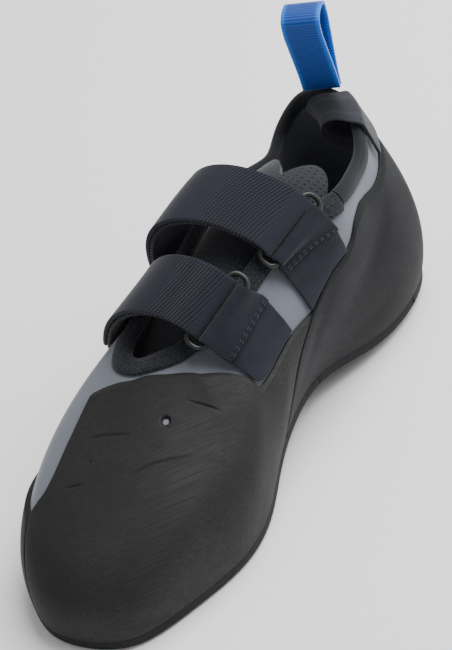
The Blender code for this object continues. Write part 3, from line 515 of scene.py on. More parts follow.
def layer_mesh(name, inner, outer):
    """A closed body between two grids of one size, with its UV map in metres."""
    columns, rows = inner.shape[:2]
    count = columns * rows
    column = np.arange(columns - 1)[:, None]
    row = np.arange(rows - 1)[None, :]
    corners = [(column, row), (column, row + 1), (column + 1, row + 1), (column + 1, row)]
    face = np.stack([c * rows + r for c, r in corners], -1).reshape(-1, 4)
    rim = np.concatenate([np.arange(columns) * rows, (columns - 1) * rows + np.arange(1, rows),
                          np.arange(columns - 2, -1, -1) * rows + rows - 1,
                          np.arange(rows - 2, 0, -1)])
    onward = np.roll(rim, -1)
    side = np.stack([rim, rim + count, onward + count, onward], 1)
    mesh = bpy.data.meshes.new(name)
    points = np.concatenate([inner.reshape(-1, 3), outer.reshape(-1, 3)])
    faces = np.concatenate([face + count, face[:, ::-1], side])
    mesh.from_pydata(points.tolist(), [], faces.tolist())
    u = run_along(outer[:, rows // 2])[:, None] + np.zeros((1, rows))
    uv = np.stack([u.ravel(), run_up(outer).ravel()], 1)
    corner = np.empty(len(mesh.loops), int)
    mesh.loops.foreach_get("vertex_index", corner)
    mesh.uv_layers.new(name="surface").data.foreach_set("uv", uv[corner % count].ravel())
    return mesh


# Synthetic microfibre, a brushed non-woven: a soft matt grey with a faint sheen, a fine
# nap that shades in patches, and grain about 0.5 mm across.
GREY_NAP = "#5a5e67"
GREY_NAP_RUBBED = "#6e727b"
NAP_GRAIN = 0.0005
NAP_PATCH = 0.014
microfibre, tree, shader = new_finish("brushed_microfibre", 0.85, Sheen_Weight=0.35,
                                      Sheen_Roughness=0.45, Specular_IOR_Level=0.25)
place = body_place(tree)
patches = noise(tree, place, 1.0 / NAP_PATCH, 3.0)
grain = noise(tree, place, 1.0 / NAP_GRAIN, 2.0)
shade = reckon(tree, "MULTIPLY", patches, 0.6)
shade = reckon(tree, "MULTIPLY_ADD", grain, 0.4, shade)
cover(tree, shader, blend(tree, shade, GREY_NAP, GREY_NAP_RUBBED), grain, 0.35, 0.0002)

# Brushed warp-knit lining over thin foam, with pricks about 1.2 mm apart in even rows. Its
# soft mid grey is painted light: far lighter than the lining's own near-black, to make up
# for light reaching into the opening, where it still looks dark in the shade.
LINING_GREY_PAINTED_LIGHT = "#787a84"
LINING_HOLE_PAINTED_LIGHT = "#5c5e66"
LINING_PITCH = 0.0012
knit_lining, tree, shader = new_finish("warp_knit_lining", 0.9, Sheen_Weight=0.25,
                                       Specular_IOR_Level=0.2)
cell = cells(tree, cloth_place(tree), 1.0 / LINING_PITCH, 0.1)
hole = ramp(tree, cell, 0.18, 0.34, soft=True)
cover(tree, shader, blend(tree, hole, LINING_HOLE_PAINTED_LIGHT, LINING_GREY_PAINTED_LIGHT), hole, 0.3, 0.0002)

turn = np.arange(UPPER_COLUMNS) / UPPER_COLUMNS
wall_points = on_upper(turn[:, None], np.linspace(0.0, 1.0, UPPER_ROWS)[None, :], 0.0)
inward = np.linspace(LASTING_MARGIN, 0.0, MARGIN_ROWS + 1)[:-1]
margin = wall_points[:, :1] - plan_outward(turn)[:, None] * inward[None, :, None]
margin[..., 2] = last_bottom(margin[..., 0], margin[..., 1])
upper = add_piece(sheet_mesh("upper_shell", np.concatenate([margin, wall_points], 1), wrap=True),
                  [microfibre, knit_lining], "microfibre", "upper")
thicken(upper, WALL, -1.0, 0.0, inner_finish=1)


# Toe rubber and rand
# Sheet rubber of 1.5 mm, cut to shape, skived thin at its top edge, glued over the toe box
# and sanded by hand. The sanding leaves streaks and a brown-grey haze, and thin nicks and
# one punched hole show on top.
RUBBER = 0.0015
SEAM = 0.00025              # half the width of a seam between two rubbers
SKIVE = 0.0035              # how far from its top edge the rubber thins out
SKIVED = 0.35               # share of its thickness that is left there
THROAT_BAND = 0.0065
COLLAR_BAND = 0.0045
TOE_RUBBER_TOP = [
    # section, share of the way to the next one, height share on the upper's side
    ("waist_l", 0.61, 0.53), ("ball_rear_l", 0.10, 0.55), ("ball_rear_l", 0.60, 0.55),
    ("ball_rear_l", 0.95, 0.58), ("ball_l", 0.40, 0.72), ("little_toe", 0.10, 0.84),
    ("little_toe", 0.90, 0.90), ("fourth_toe", 0.86, 0.94), ("third_toe", 0.53, 0.955),
    ("second_toe", 0.45, 0.954), ("toe_tip", 0.23, 0.934), ("toe_tip", 0.55, 0.908),
    ("toe_tip", 0.82, 0.873),
]
OUTER_SEAM = [
    ("waist_l", 0.80, 0.00), ("waist_l", 0.86, 0.25), ("waist_l", 0.84, 0.38),
    ("waist_l", 0.61, 0.53),
]
INNER_SEAM = [("toe_tip", 0.44, 0.00), ("toe_tip", 0.50, 0.30), ("toe_tip", 0.56, 0.45)]
TOE_PATCH_SIDE = INNER_SEAM + [
    ("toe_tip", 0.42, 0.51), ("toe_tip", 0.28, 0.57), ("toe_tip", 0.24, 0.63),
    ("toe_tip", 0.29, 0.71), ("toe_tip", 0.40, 0.78), ("toe_tip", 0.56, 0.828),
    ("toe_tip", 0.82, 0.873),
]
# Nicks in the toe rubber, seen from above: points (x, y) in metres
NICKS = [
    [(0.0112, 0.0233), (0.0182, 0.0246), (0.0243, 0.0254)],
    [(-0.0227, -0.0029), (-0.0143, 0.0004), (-0.0046, 0.0025)],
    [(0.0042, -0.0122), (0.0109, -0.0048), (0.0224, 0.0040)],
    [(-0.0208, -0.0240), (-0.0131, -0.0208)],
]
NICK_HALF = 0.00036
NICK_DEPTH = 0.0006
PUNCHED_HOLE = (0.0072, 0.0124)
PUNCHED_RADIUS = 0.0020
PIN_HOLE = (-0.0153, -0.0116)
PIN_RADIUS = 0.0006
SANDED_BLACK = "#161618"
SANDED_HAZE = "#272625"
# Painted shade in the nicks, the pin hole and the wall of the punched hole
CUT_SHADE_BLACK = "#040404"
BARED_CLOTH = "#70747c"
STREAK_LONG, STREAK_WIDE = 0.024, 0.0008
STREAK_TURN = math.radians(52.0)    # from the shoe's width, seen from above
HAZE_PATCH = 0.045
RUBBER_GRAIN = 0.0007       # real sanding grit leaves about 0.2 mm, drawn coarser to show


def cubic(first, last, first_slope, last_slope, step, t):
    """Curve from one point to the next with these slopes at its ends, t from 0 to 1."""
    return ((2 * t ** 3 - 3 * t ** 2 + 1) * first + (t ** 3 - 2 * t ** 2 + t) * step * first_slope
            + (3 * t ** 2 - 2 * t ** 3) * last + (t ** 3 - t ** 2) * step * last_slope)


def edge_curve(rows, shares):
    """Smooth (turn, rise) curve through table rows, at shares of its length."""
    turns = np.array([turn_at(name, onward) for name, onward, _ in rows])
    turns = np.unwrap(turns * 2.0 * math.pi) / (2.0 * math.pi)
    points = np.stack([turns, [row[2] for row in rows]], 1)
    steps = np.linalg.norm(np.diff(points * np.array([GIRTH, INSTEP_HEIGHT]), axis=0), axis=1)
    knots = np.concatenate([[0.0], np.cumsum(steps)]) / steps.sum()
    slopes = np.gradient(points, knots, axis=0)
    at = np.asarray(shares, float)
    i = np.clip(np.searchsorted(knots, at, side="right") - 1, 0, len(knots) - 2)
    step = (knots[i + 1] - knots[i])[:, None]
    t = (at - knots[i])[:, None] / step
    return cubic(points[i], points[i + 1], slopes[i], slopes[i + 1], step, t)


def speed_at_edge(turn):
    """Metres of side per unit of rise, at the edge of the opening."""
    step = 0.01
    run = side_point(turn, 1.0) - side_point(turn, 1.0 - step)
    return np.linalg.norm(run, axis=-1) / step


def rubber_patch(top_rows, first_side, last_side, across, upward, band):
    """Grid of (turn, rise) filled in between the feather line, a top edge and two seams, at
    these shares of its length and height."""
    top = edge_curve(top_rows, across)
    below_binding = 1.0 - (band + TOUCH) / speed_at_edge(top[:, 0])
    top[:, 1] = np.minimum(top[:, 1], below_binding)
    first = edge_curve(first_side, upward)
    last = edge_curve(last_side, upward)
    last[:, 0] += round(top[-1, 0] - last[-1, 0])
    first[:, 0] += SEAM / GIRTH
    last[:, 0] -= SEAM / GIRTH
    top[:, 0] = first[-1, 0] + (top[:, 0] - top[0, 0]) * (
        (last[-1, 0] - first[-1, 0]) / (top[-1, 0] - top[0, 0]))
    bottom_turn = first[0, 0] + (top[:, 0] - top[0, 0]) * (
        (last[0, 0] - first[0, 0]) / (top[-1, 0] - top[0, 0]))
    bottom = np.stack([bottom_turn, np.zeros(len(across))], 1)
    first[:, 1] *= top[0, 1] / first[-1, 1]
    last[:, 1] *= top[-1, 1] / last[-1, 1]
    t = across[:, None, None]
    s = upward[None, :, None]
    corners = ((1 - t) * (1 - s) * bottom[0] + (1 - t) * s * top[0]
               + t * (1 - s) * bottom[-1] + t * s * top[-1])
    return ((1 - s) * bottom[:, None] + s * top[:, None] + (1 - t) * first[None]
            + t * last[None] - corners)


def steps_between(stops, counts):
    """Shares from 0 to 1 with this many even steps between each two stops."""
    parts = [np.linspace(a, b, n + 1)[:-1] for a, b, n in zip(stops[:-1], stops[1:], counts)]
    return np.concatenate(parts + [[stops[-1]]])


def edge_distances(points):
    """How far each grid point lies from the top edge, and from the nearer seam."""
    climb = np.linalg.norm(np.diff(points, axis=1), axis=2)
    below_top = np.zeros(points.shape[:2])
    below_top[:, :-1] = np.cumsum(climb[:, ::-1], axis=1)[:, ::-1]
    run = np.linalg.norm(np.diff(points, axis=0), axis=2)
    from_first = np.zeros(points.shape[:2])
    from_first[1:] = np.cumsum(run, axis=0)
    return below_top, np.minimum(from_first, from_first[-1:] - from_first)


def rubber_heights(points):
    """Height of the rubber's outer face: skived to the top edge, eased at the seams."""
    below_top, from_seam = edge_distances(points)
    full = CLEAR + RUBBER
    skived = SKIVED + (1.0 - SKIVED) * smoothstep(-0.0006, SKIVE, below_top)
    eased = 0.75 + 0.25 * smoothstep(0.0, 0.0008, from_seam)
    return full * np.minimum(skived, eased)


def line_marks(points, line, half_width):
    """1 on a line seen from above, falling off as a bell across it and fading at its ends."""
    line = np.array(line)
    lengths = np.linalg.norm(np.diff(line, axis=0), axis=1)
    reached = np.concatenate([[0.0], np.cumsum(lengths)]) / lengths.sum()
    nearest = np.full(points.shape[:-1], np.inf)
    place = np.zeros(points.shape[:-1])
    for k, (start, end) in enumerate(zip(line[:-1], line[1:])):
        run = end - start
        share = np.clip(((points[..., :2] - start) @ run) / (run @ run), 0.0, 1.0)
        away = np.linalg.norm(points[..., :2] - start - share[..., None] * run, axis=-1)
        place = np.where(away < nearest, reached[k] + share * (reached[k + 1] - reached[k]), place)
        nearest = np.minimum(nearest, away)
    return np.exp(-(nearest / half_width) ** 2) * np.sin(np.pi * np.clip(place, 0.03, 0.97)) ** 0.5


def rubber_finish(name, black, haze, roughness):
    """Black rubber: haze in patches, streaked by sanding, over a fine grain. One mark paints
    the nicks, the pin hole and the punched hole's wall near black as painted shade in these
    recesses; the mark named bared shows the cloth at the punched hole."""
    made, tree, shader = new_finish(name, roughness, Specular_IOR_Level=0.28)
    place = body_place(tree)
    drawn = add(tree, "ShaderNodeMapping",
                {"Vector": place, "Scale": (STREAK_LONG, STREAK_WIDE, STREAK_WIDE),
                 "Rotation": (0.0, 0.0, STREAK_TURN)}, vector_type="TEXTURE")[0]
    streaks = noise(tree, drawn, 1.0, 5.0, Roughness=0.6)
    patches = noise(tree, place, 1.0 / HAZE_PATCH, 4.0, Roughness=0.6)
    grain = noise(tree, place, 1.0 / RUBBER_GRAIN, 3.0)
    dusty = ramp(tree, patches, 0.36, 0.66, 0.28, 0.66, soft=True)
    drawn_on = ramp(tree, streaks, 0.36, 0.64, 0.45, 1.45)
    speckled = ramp(tree, grain, 0.25, 0.75, -0.12, 0.12)
    shade = reckon(tree, "MULTIPLY_ADD", dusty, drawn_on, speckled, clamp=True)
    worn = ramp(tree, shade, 0.0, 1.0, roughness + 0.08, roughness - 0.08)
    tree.links.new(worn, shader.inputs["Roughness"])
    colour = blend(tree, shade, black, haze)
    # Painted shade: near black in the nicks, the pin hole and the wall of the punched hole.
    colour = blend(tree, marked(tree, "shaded_cuts"), colour, CUT_SHADE_BLACK)
    colour = blend(tree, marked(tree, "bared"), colour, BARED_CLOTH)
    relief = reckon(tree, "MULTIPLY_ADD", streaks, 0.5, grain)
    cover(tree, shader, colour, relief, 0.3, 0.00016)
    return made


sanded_rubber = rubber_finish("sanded_sheet_rubber", SANDED_BLACK, SANDED_HAZE, 0.66)
patch = rubber_patch(TOE_RUBBER_TOP, OUTER_SEAM, TOE_PATCH_SIDE,
                     steps_between([0.0, 0.52, 0.93, 1.0], [58, 230, 14]),
                     steps_between([0.0, 0.60, 0.94, 1.0], [30, 86, 12]), THROAT_BAND)
plain_face = on_upper(patch[..., 0], patch[..., 1], CLEAR + RUBBER)
outward = side_normal(patch[..., 0], patch[..., 1])
on_top = smoothstep(0.12, 0.28, outward[..., 2])
# The nicks, the pin hole and the punched hole are sunk into the rubber, and this mark also paints
# them near black, as painted shade in these recesses.
shaded_cuts = np.zeros(plain_face.shape[:2])
for nick in NICKS:
    shaded_cuts = np.maximum(shaded_cuts, line_marks(plain_face, nick, NICK_HALF) * on_top)
pin = np.exp(-(np.linalg.norm(plain_face[..., :2] - PIN_HOLE, axis=-1) / PIN_RADIUS) ** 2)
punched_away = np.linalg.norm(plain_face[..., :2] - PUNCHED_HOLE, axis=-1)
punched = (1.0 - smoothstep(0.85 * PUNCHED_RADIUS, 1.1 * PUNCHED_RADIUS, punched_away)) * on_top
bared = (1.0 - smoothstep(0.52 * PUNCHED_RADIUS, 0.66 * PUNCHED_RADIUS, punched_away)) * on_top
shaded_cuts = np.maximum(shaded_cuts, pin * on_top)
sunk = NICK_DEPTH * shaded_cuts + 0.7 * RUBBER * punched
mesh = layer_mesh("toe_rubber_skin", on_upper(patch[..., 0], patch[..., 1], TOUCH),
                  on_upper(patch[..., 0], patch[..., 1], rubber_heights(plain_face) - sunk))
plain = np.zeros(shaded_cuts.size)
mark(mesh, "shaded_cuts", np.concatenate([plain, np.maximum(shaded_cuts, punched - bared).ravel()]))
mark(mesh, "bared", np.concatenate([plain, bared.ravel()]))
add_piece(mesh, [sanded_rubber], "rubber", "toe_rubber")


# Heel rubber and slingshot rand
# The second rubber sheet: stretched round the heel, so that it pulls the foot forward, and
# along the inner side to the big toe, with a plain butt seam at each end.
HEEL_RUBBER_TOP = [
    ("toe_tip", 0.58, 0.45), ("big_toe", 0.60, 0.40), ("big_toe_side", 0.77, 0.37),
    ("ball_m", 0.78, 0.38), ("ball_rear_m", 0.93, 0.43), ("waist_m", 0.95, 0.56),
    ("heel_front_m", 0.48, 0.70), ("heel_m", 0.46, 0.84), ("heel_back", 0.00, 0.86),
    ("heel_corner_l", 0.40, 0.80), ("heel_l", 0.33, 0.82), ("heel_front_l", 0.00, 0.85),
    ("heel_front_l", 0.32, 0.85), ("heel_front_l", 0.62, 0.80), ("heel_front_l", 0.80, 0.72),
    ("heel_front_l", 0.96, 0.68), ("waist_l", 0.30, 0.62), ("waist_l", 0.61, 0.53),
]
STRETCHED_BLACK = "#0e0f12"
STRETCHED_HAZE = "#17181c"
patch = rubber_patch(HEEL_RUBBER_TOP, INNER_SEAM, OUTER_SEAM, np.linspace(0.0, 1.0, 460),
                     steps_between([0.0, 0.85, 1.0], [48, 16]), COLLAR_BAND)
plain_face = on_upper(patch[..., 0], patch[..., 1], CLEAR + RUBBER)
mesh = layer_mesh("heel_rubber_skin", on_upper(patch[..., 0], patch[..., 1], TOUCH),
                  on_upper(patch[..., 0], patch[..., 1], rubber_heights(plain_face)))
stretched_rubber = rubber_finish("stretched_sheet_rubber", STRETCHED_BLACK, STRETCHED_HAZE, 0.68)
add_piece(mesh, [stretched_rubber], "rubber", "heel_rubber")


# Outsole
# Climbing rubber of 4.5 mm in two parts, front and heel, glued on and ground flush with
# the rand, which leaves a matt, slightly rounded edge.
ARCH_SPLIT = 0.617
BUTT = 0.0003               # gap between the two parts
GROUND_EDGE = 0.0018        # radius of the ground edge below
JOINT_EDGE = 0.0002         # and of the edge against the rand
FLUSH = CLEAR + RUBBER
FAN_TOE, FAN_HEEL = 0.16, 0.88
PLATE_STEPS, FAN_STEPS, PLATE_ROWS = 60, 120, 16


def turns_where(along, offset, outer):
    """Turn share where the feather line passes a share of LENGTH on one side."""
    turn = (np.linspace(0.0, turn_at("second_toe", 0.5), 400) if outer
            else np.linspace(turn_at("second_toe", 0.5), 1.0, 400))
    y = feather_line(offset, turn)[:, 1] / LENGTH + ORIGIN_ALONG
    order = slice(None, None, -1) if outer else slice(None)
    return np.interp(along, y[order], turn[order])


def plate_mesh(name, offset, low, high, start, stop, edge, top_edge):
    """A plate under the last. Columns go round the feather line, rows from its middle line
    over the top, round the edge and back below; both ends fan out from one point."""
    runs = []
    middles = []
    for outer in (True, False):
        along = np.linspace(max(start, FAN_TOE), min(stop, FAN_HEEL), PLATE_STEPS)
        runs.append(turns_where(along, offset, outer))
        middles.append(along)
    outer_run, inner_run = runs[0][::-1], runs[1]
    turn, along = outer_run, middles[0][::-1]
    if start < 0.0:
        fan = np.linspace(outer_run[-1], inner_run[0], FAN_STEPS)[1:-1]
        turn = np.concatenate([turn, fan])
        along = np.concatenate([along, np.full(len(fan), FAN_TOE)])
    turn = np.concatenate([turn, inner_run])
    along = np.concatenate([along, middles[1]])
    if stop > 1.0:
        fan = np.linspace(inner_run[-1], 1.0 + outer_run[0], FAN_STEPS)[1:-1]
        turn = np.concatenate([turn, fan])
        along = np.concatenate([along, np.full(len(fan), FAN_HEEL)])
    rim = feather_line(offset, turn)
    y = (along - ORIGIN_ALONG) * LENGTH
    outer_x = feather_line(offset, turns_where(along, offset, True))[:, 0]
    inner_x = feather_line(offset, turns_where(along, offset, False))[:, 0]
    middle = np.stack([(outer_x + inner_x) / 2.0, y], 1)
    across = middle - rim[:, :2]
    reach = np.linalg.norm(across, axis=1)[:, None]
    quarter = np.linspace(0.0, 0.5 * math.pi, 5)
    plain = np.linspace(1.0, 0.0, PLATE_ROWS)[:-1]
    inset = np.concatenate([plain[None, :] * (reach - top_edge) + top_edge,
                            top_edge * (1.0 - np.sin(quarter)) + 0.0 * reach,
                            edge * (1.0 - np.cos(quarter)) + 0.0 * reach,
                            plain[None, ::-1] * (reach - edge) + edge], 1)
    top, bottom = np.full(len(plain), high), np.full(len(plain), low)
    rises = np.concatenate([top, high - top_edge * (1.0 - np.cos(quarter)),
                            low + edge * (1.0 - np.sin(quarter)), bottom])
    flat = rim[:, None, :2] + across[:, None] * (inset / reach)[..., None]
    z = last_bottom(flat[..., 0], flat[..., 1]) + rises
    points = np.concatenate([flat, z[..., None]], -1)[:, ::-1]
    mesh = sheet_mesh(name, points, wrap=start < 0.0 and stop > 1.0)
    weld(mesh, 0.00002, close=True)
    return mesh


GROUND_BLACK = "#101114"
GROUND_HAZE = "#1b1c1e"
ground_rubber = rubber_finish("ground_outsole_rubber", GROUND_BLACK, GROUND_HAZE, 0.7)
half_butt = BUTT / (2.0 * LENGTH)
add_piece(plate_mesh("outsole_front_plate", FLUSH, -CLEAR - SOLE, -TOUCH, -1.0,
                     ARCH_SPLIT - half_butt, GROUND_EDGE, JOINT_EDGE),
          [ground_rubber], "outsole_rubber", "outsole_front")
add_piece(plate_mesh("outsole_heel_plate", FLUSH, -CLEAR - SOLE, -TOUCH,
                     ARCH_SPLIT + half_butt, 2.0, GROUND_EDGE, JOINT_EDGE),
          [ground_rubber], "outsole_rubber", "outsole_heel")


# Insole
# A board of 3 mm covered with dark felt, laid in on the lasting margin.
INSOLE = 0.003
INSOLE_INSET = 0.0040
INSOLE_LIFT = 0.0034
INSOLE_EDGE = 0.0008
FELT_DARK = "#3a3b3f"
FELT_LIGHT = "#4a4b50"
FELT_FIBRE = 0.0007
felt, tree, shader = new_finish("needled_felt", 0.95, Sheen_Weight=0.3, Specular_IOR_Level=0.15)
fibre = noise(tree, body_place(tree), 1.0 / FELT_FIBRE, 3.0)
cover(tree, shader, blend(tree, fibre, FELT_DARK, FELT_LIGHT), fibre, 0.6, 0.0003)
add_piece(plate_mesh("insole_board", -INSOLE_INSET, INSOLE_LIFT, INSOLE_LIFT + INSOLE, -1.0, 2.0,
                     INSOLE_EDGE, INSOLE_EDGE), [felt], "insole_board", "insole")


# Bindings
# A strip of soft looped knit is folded over the cut edge of the throat and sewn through in
# two rows. The collar has a smoother, thinner tricot strip with one row.
BINDING = 0.001
BINDING_TOP = CLEAR + BINDING + CLEAR   # first free height above the binding
PUFF = 0.0006
TAPE_RIM = 0.0003           # round of a cut edge of cloth or tape
BAND_COLUMNS, BAND_ROWS = 420, 9
KNIT_DARK = "#0c0d10"
KNIT_LIGHT = "#26282e"
KNIT_LOOP = 0.0009
TRICOT_DARK = "#15161a"
TRICOT_LIGHT = "#202227"
TRICOT_LOOP = 0.0006


def knit_finish(name, dark, light, loop, depth):
    """Looped knit: dark gaps between rounded yarn, worked on the surface."""
    made, tree, shader = new_finish(name, 0.9, Sheen_Weight=0.15, Specular_IOR_Level=0.2)
    place = cloth_place(tree)
    fuzz = noise(tree, place, 1.5 / loop, 4.0)
    yarn = ramp(tree, cells(tree, place, 1.0 / loop, 0.6), 0.15, 0.6, soft=True)
    shade = reckon(tree, "MULTIPLY", yarn, fuzz)
    shade = reckon(tree, "MULTIPLY", shade, 1.7, clamp=True)
    height = reckon(tree, "MULTIPLY_ADD", yarn, 0.7, fuzz)
    cover(tree, shader, blend(tree, shade, dark, light), height, 0.6, depth)
    return made


knit_tape = knit_finish("looped_knit_tape", KNIT_DARK, KNIT_LIGHT, KNIT_LOOP, 0.0004)
tricot_tape = knit_finish("tricot_tape", TRICOT_DARK, TRICOT_LIGHT, TRICOT_LOOP, 0.0001)


def by_edge(turn, distance, height):
    """A point by its distance past the opening's edge (negative: down the side) and its
    height above the upper's face."""
    turn, distance, height = np.broadcast_arrays(turn, distance, height)
    return on_upper(turn, 1.0 + distance / speed_at_edge(turn), height)


def folded_strip(first, last, band, inside, lift, columns):
    """A strip over the edge: down the outer face by band, over the top, down inside."""
    turn = np.linspace(first, last, columns)[:, None]
    leg = np.linspace(-1.0, 0.0, BAND_ROWS)
    bulge = PUFF * np.sqrt(np.clip(np.sin(np.pi * (leg + 1.0)), 0.0, 1.0))
    angle = np.linspace(0.0, math.pi, 9)[1:-1]
    half = 0.5 * WALL + lift
    distance = np.concatenate([leg * band, half * np.sin(angle), leg[::-1] * inside])
    height = np.concatenate([lift + bulge, lift - half * (1.0 - np.cos(angle)),
                             -WALL - lift - 0.4 * bulge[::-1]])
    return by_edge(turn, distance[None, :], height[None, :])


outer_quarter = turn_at("waist_l", -0.12)
inner_quarter = turn_at("waist_m", 0.20)
half_seam = SEAM / GIRTH
throat = add_piece(sheet_mesh("throat_binding_tape", folded_strip(
    outer_quarter + half_seam, inner_quarter - half_seam, THROAT_BAND, THROAT_BAND, TOUCH,
    BAND_COLUMNS)), [knit_tape], "mesh", "throat_binding")
thicken(throat, BINDING, 1.0, TAPE_RIM)
collar = add_piece(sheet_mesh("collar_binding_tape", folded_strip(
    inner_quarter + half_seam, 1.0 + outer_quarter - half_seam, COLLAR_BAND, COLLAR_BAND, TOUCH,
    BAND_COLUMNS)), [tricot_tape], "mesh", "collar_binding")
thicken(collar, BINDING, 1.0, TAPE_RIM)


# Tongue
# Two layers of spacer mesh over thin foam, tucked and sewn under the front of the throat
# and both sides, with two rounded lobes at its free end. It is fully perforated.
TONGUE = 0.0035
TONGUE_FROM, TONGUE_TO, TONGUE_LOBES = 0.510, 0.742, 0.064
TONGUE_TUCK = 0.007
TONGUE_RIM = 0.0012
TONGUE_BOW = 0.34
TONGUE_LEAD = [(0.0310, 0.0205), (0.0220, 0.0165)]
MESH_DARK = "#101113"
MESH_LIGHT = "#2a2c32"
MESH_PITCH = 0.0021


def turn_along(along, rise, outer):
    """Turn share where one side reaches this share of LENGTH, at this rise."""
    first, last = ((0.0, turn_at("second_toe")) if outer else (turn_at("toe_tip"), 1.0))
    turns = np.linspace(first, last, 160)
    along, rise = np.broadcast_arrays(np.asarray(along, float), np.asarray(rise, float))
    rises, which = np.unique(np.round(rise.ravel(), 4), return_inverse=True)
    found = np.empty(along.size)
    for k, value in enumerate(rises):
        y = side_point(turns, value)[:, 1] / LENGTH + ORIGIN_ALONG
        here = which.ravel() == k
        found[here] = (np.interp(along.ravel()[here], y[::-1], turns[::-1]) if outer
                       else np.interp(along.ravel()[here], y, turns))
    return found.reshape(along.shape)


def edge_points(along, distance, height, outer):
    """Points near the opening's edge at given shares of LENGTH on one side."""
    turn = turn_along(along, 1.0, outer)
    for _ in range(3):
        turn = turn_along(along, 1.0 + distance / speed_at_edge(turn), outer)
    return by_edge(turn, distance, height)


def bezier(a, b, c, d, share):
    """Cubic between rows of points a and d with handles b and c."""
    share = share[None, :, None]
    rest = 1.0 - share
    return (rest ** 3 * a[:, None] + 3 * rest ** 2 * share * b[:, None]
            + 3 * rest * share ** 2 * c[:, None] + share ** 3 * d[:, None])


def smooth_through(points, count):
    """Even resampling of rows of points by a curve that passes through each of them."""
    steps = np.linalg.norm(np.diff(points, axis=1), axis=2).mean(0)
    knots = np.concatenate([[0.0], np.cumsum(steps)])
    slopes = np.gradient(points, knots, axis=1)
    at = np.linspace(0.0, knots[-1], count)
    i = np.clip(np.searchsorted(knots, at, side="right") - 1, 0, len(knots) - 2)
    step = (knots[i + 1] - knots[i])[None, :, None]
    t = (at - knots[i])[None, :, None] / step
    return cubic(points[:, i], points[:, i + 1], slopes[:, i], slopes[:, i + 1], step, t)


def tongue_points(columns, rows):
    """Arches from one side of the opening to the other, ending in two lobes."""
    below = -(WALL + CLEAR + BINDING + CLEAR + 0.0003 + TONGUE / 2.0)
    across = np.linspace(0.0, 1.0, columns)
    off_middle = np.clip(2.0 * np.abs(across - 0.5), 0.0, 1.0)
    lobes = TONGUE_TO + TONGUE_LOBES * np.sin(np.pi * off_middle) ** 0.65
    share = np.linspace(0.0, 1.0, rows)
    along = TONGUE_FROM + (lobes[:, None] - TONGUE_FROM) * share[None, :]
    left = edge_points(along, 0.0 * along, below, True)
    left_out = edge_points(along, 0.0 * along - 0.001, below, True)
    right = edge_points(along, 0.0 * along, below, False)
    right_out = edge_points(along, 0.0 * along - 0.001, below, False)
    span = np.linalg.norm(left - right, axis=-1)[..., None] * TONGUE_BOW
    left_handle = left + unit(left - left_out) * span
    right_handle = right + unit(right - right_out) * span
    t = across[:, None, None]
    arch = ((1 - t) ** 3 * left + 3 * (1 - t) ** 2 * t * left_handle
            + 3 * (1 - t) * t ** 2 * right_handle + t ** 3 * right)
    tuck = np.linspace(-TONGUE_TUCK, 0.0, 8)[:-1]
    left_tuck = edge_points(along[:1] + 0.0 * tuck[:, None], tuck[:, None] + 0.0 * along[:1],
                            below, True)
    right_tuck = edge_points(along[-1:] + 0.0 * tuck[::-1, None],
                             tuck[::-1, None] + 0.0 * along[-1:], below, False)
    grid = np.concatenate([left_tuck, arch, right_tuck], 0)
    lead = [grid[:, :1] - np.array([0.0, forward, down]) for forward, down in TONGUE_LEAD]
    front = smooth_through(np.concatenate(lead + [grid[:, :1]], 1), 16)
    return np.concatenate([front[:, :-1], grid], 1)


spacer_mesh, tree, shader = new_finish("perforated_spacer_mesh", 0.88, Sheen_Weight=0.25,
                                       Specular_IOR_Level=0.25)
place = cloth_place(tree)
fuzz = noise(tree, place, 3.0 / MESH_PITCH, 3.0)
rib = ramp(tree, cells(tree, place, 1.0 / MESH_PITCH, 0.12), 0.16, 0.30, soft=True)
shade = reckon(tree, "MULTIPLY", rib, fuzz)
shade = reckon(tree, "MULTIPLY", shade, 1.6, clamp=True)
cover(tree, shader, blend(tree, shade, MESH_DARK, MESH_LIGHT), rib, 0.5, 0.0003)
tongue = add_piece(sheet_mesh("tongue_pad", tongue_points(120, 90)), [spacer_mesh], "mesh",
                   "tongue")
thicken(tongue, TONGUE, 0.0, TONGUE_RIM)


# Ring panels
# A panel of close-woven cloth for each strap, sewn to the outer side, folded back through
# its ring and stitched down again beside the fold.
STRAP_WIDTH = 0.027
BASE_CLOTH = 0.0012
BASE_EDGE = 0.02
BASE_REACH = 0.86
FOLD_SLACK = 1.42           # how far a fold stands off its bar, of a tight turn
HEM_ROWS = 7                # rows of the panel that its hem lies on
RING_WIRE = 0.0011
RING_SPAN = 0.0085
# name, ring, inner, turn, sewn, leaves, lean, shoulder, as in the CAD model
STRAPS = [
    ("front", 0.502, 0.485, 8.0, 0.50, 0.70, -0.33, 0.50),
    ("rear", 0.668, 0.620, 12.0, 0.50, 0.70, 0.17, 0.74),
]
WIDTHS = np.linspace(-0.5, 0.5, 25)
CLOTH_NAVY = "#11131d"
CLOTH_NAVY_LIGHT = "#1e212d"
TWILL = 0.0007
DYE_PATCH = 0.006


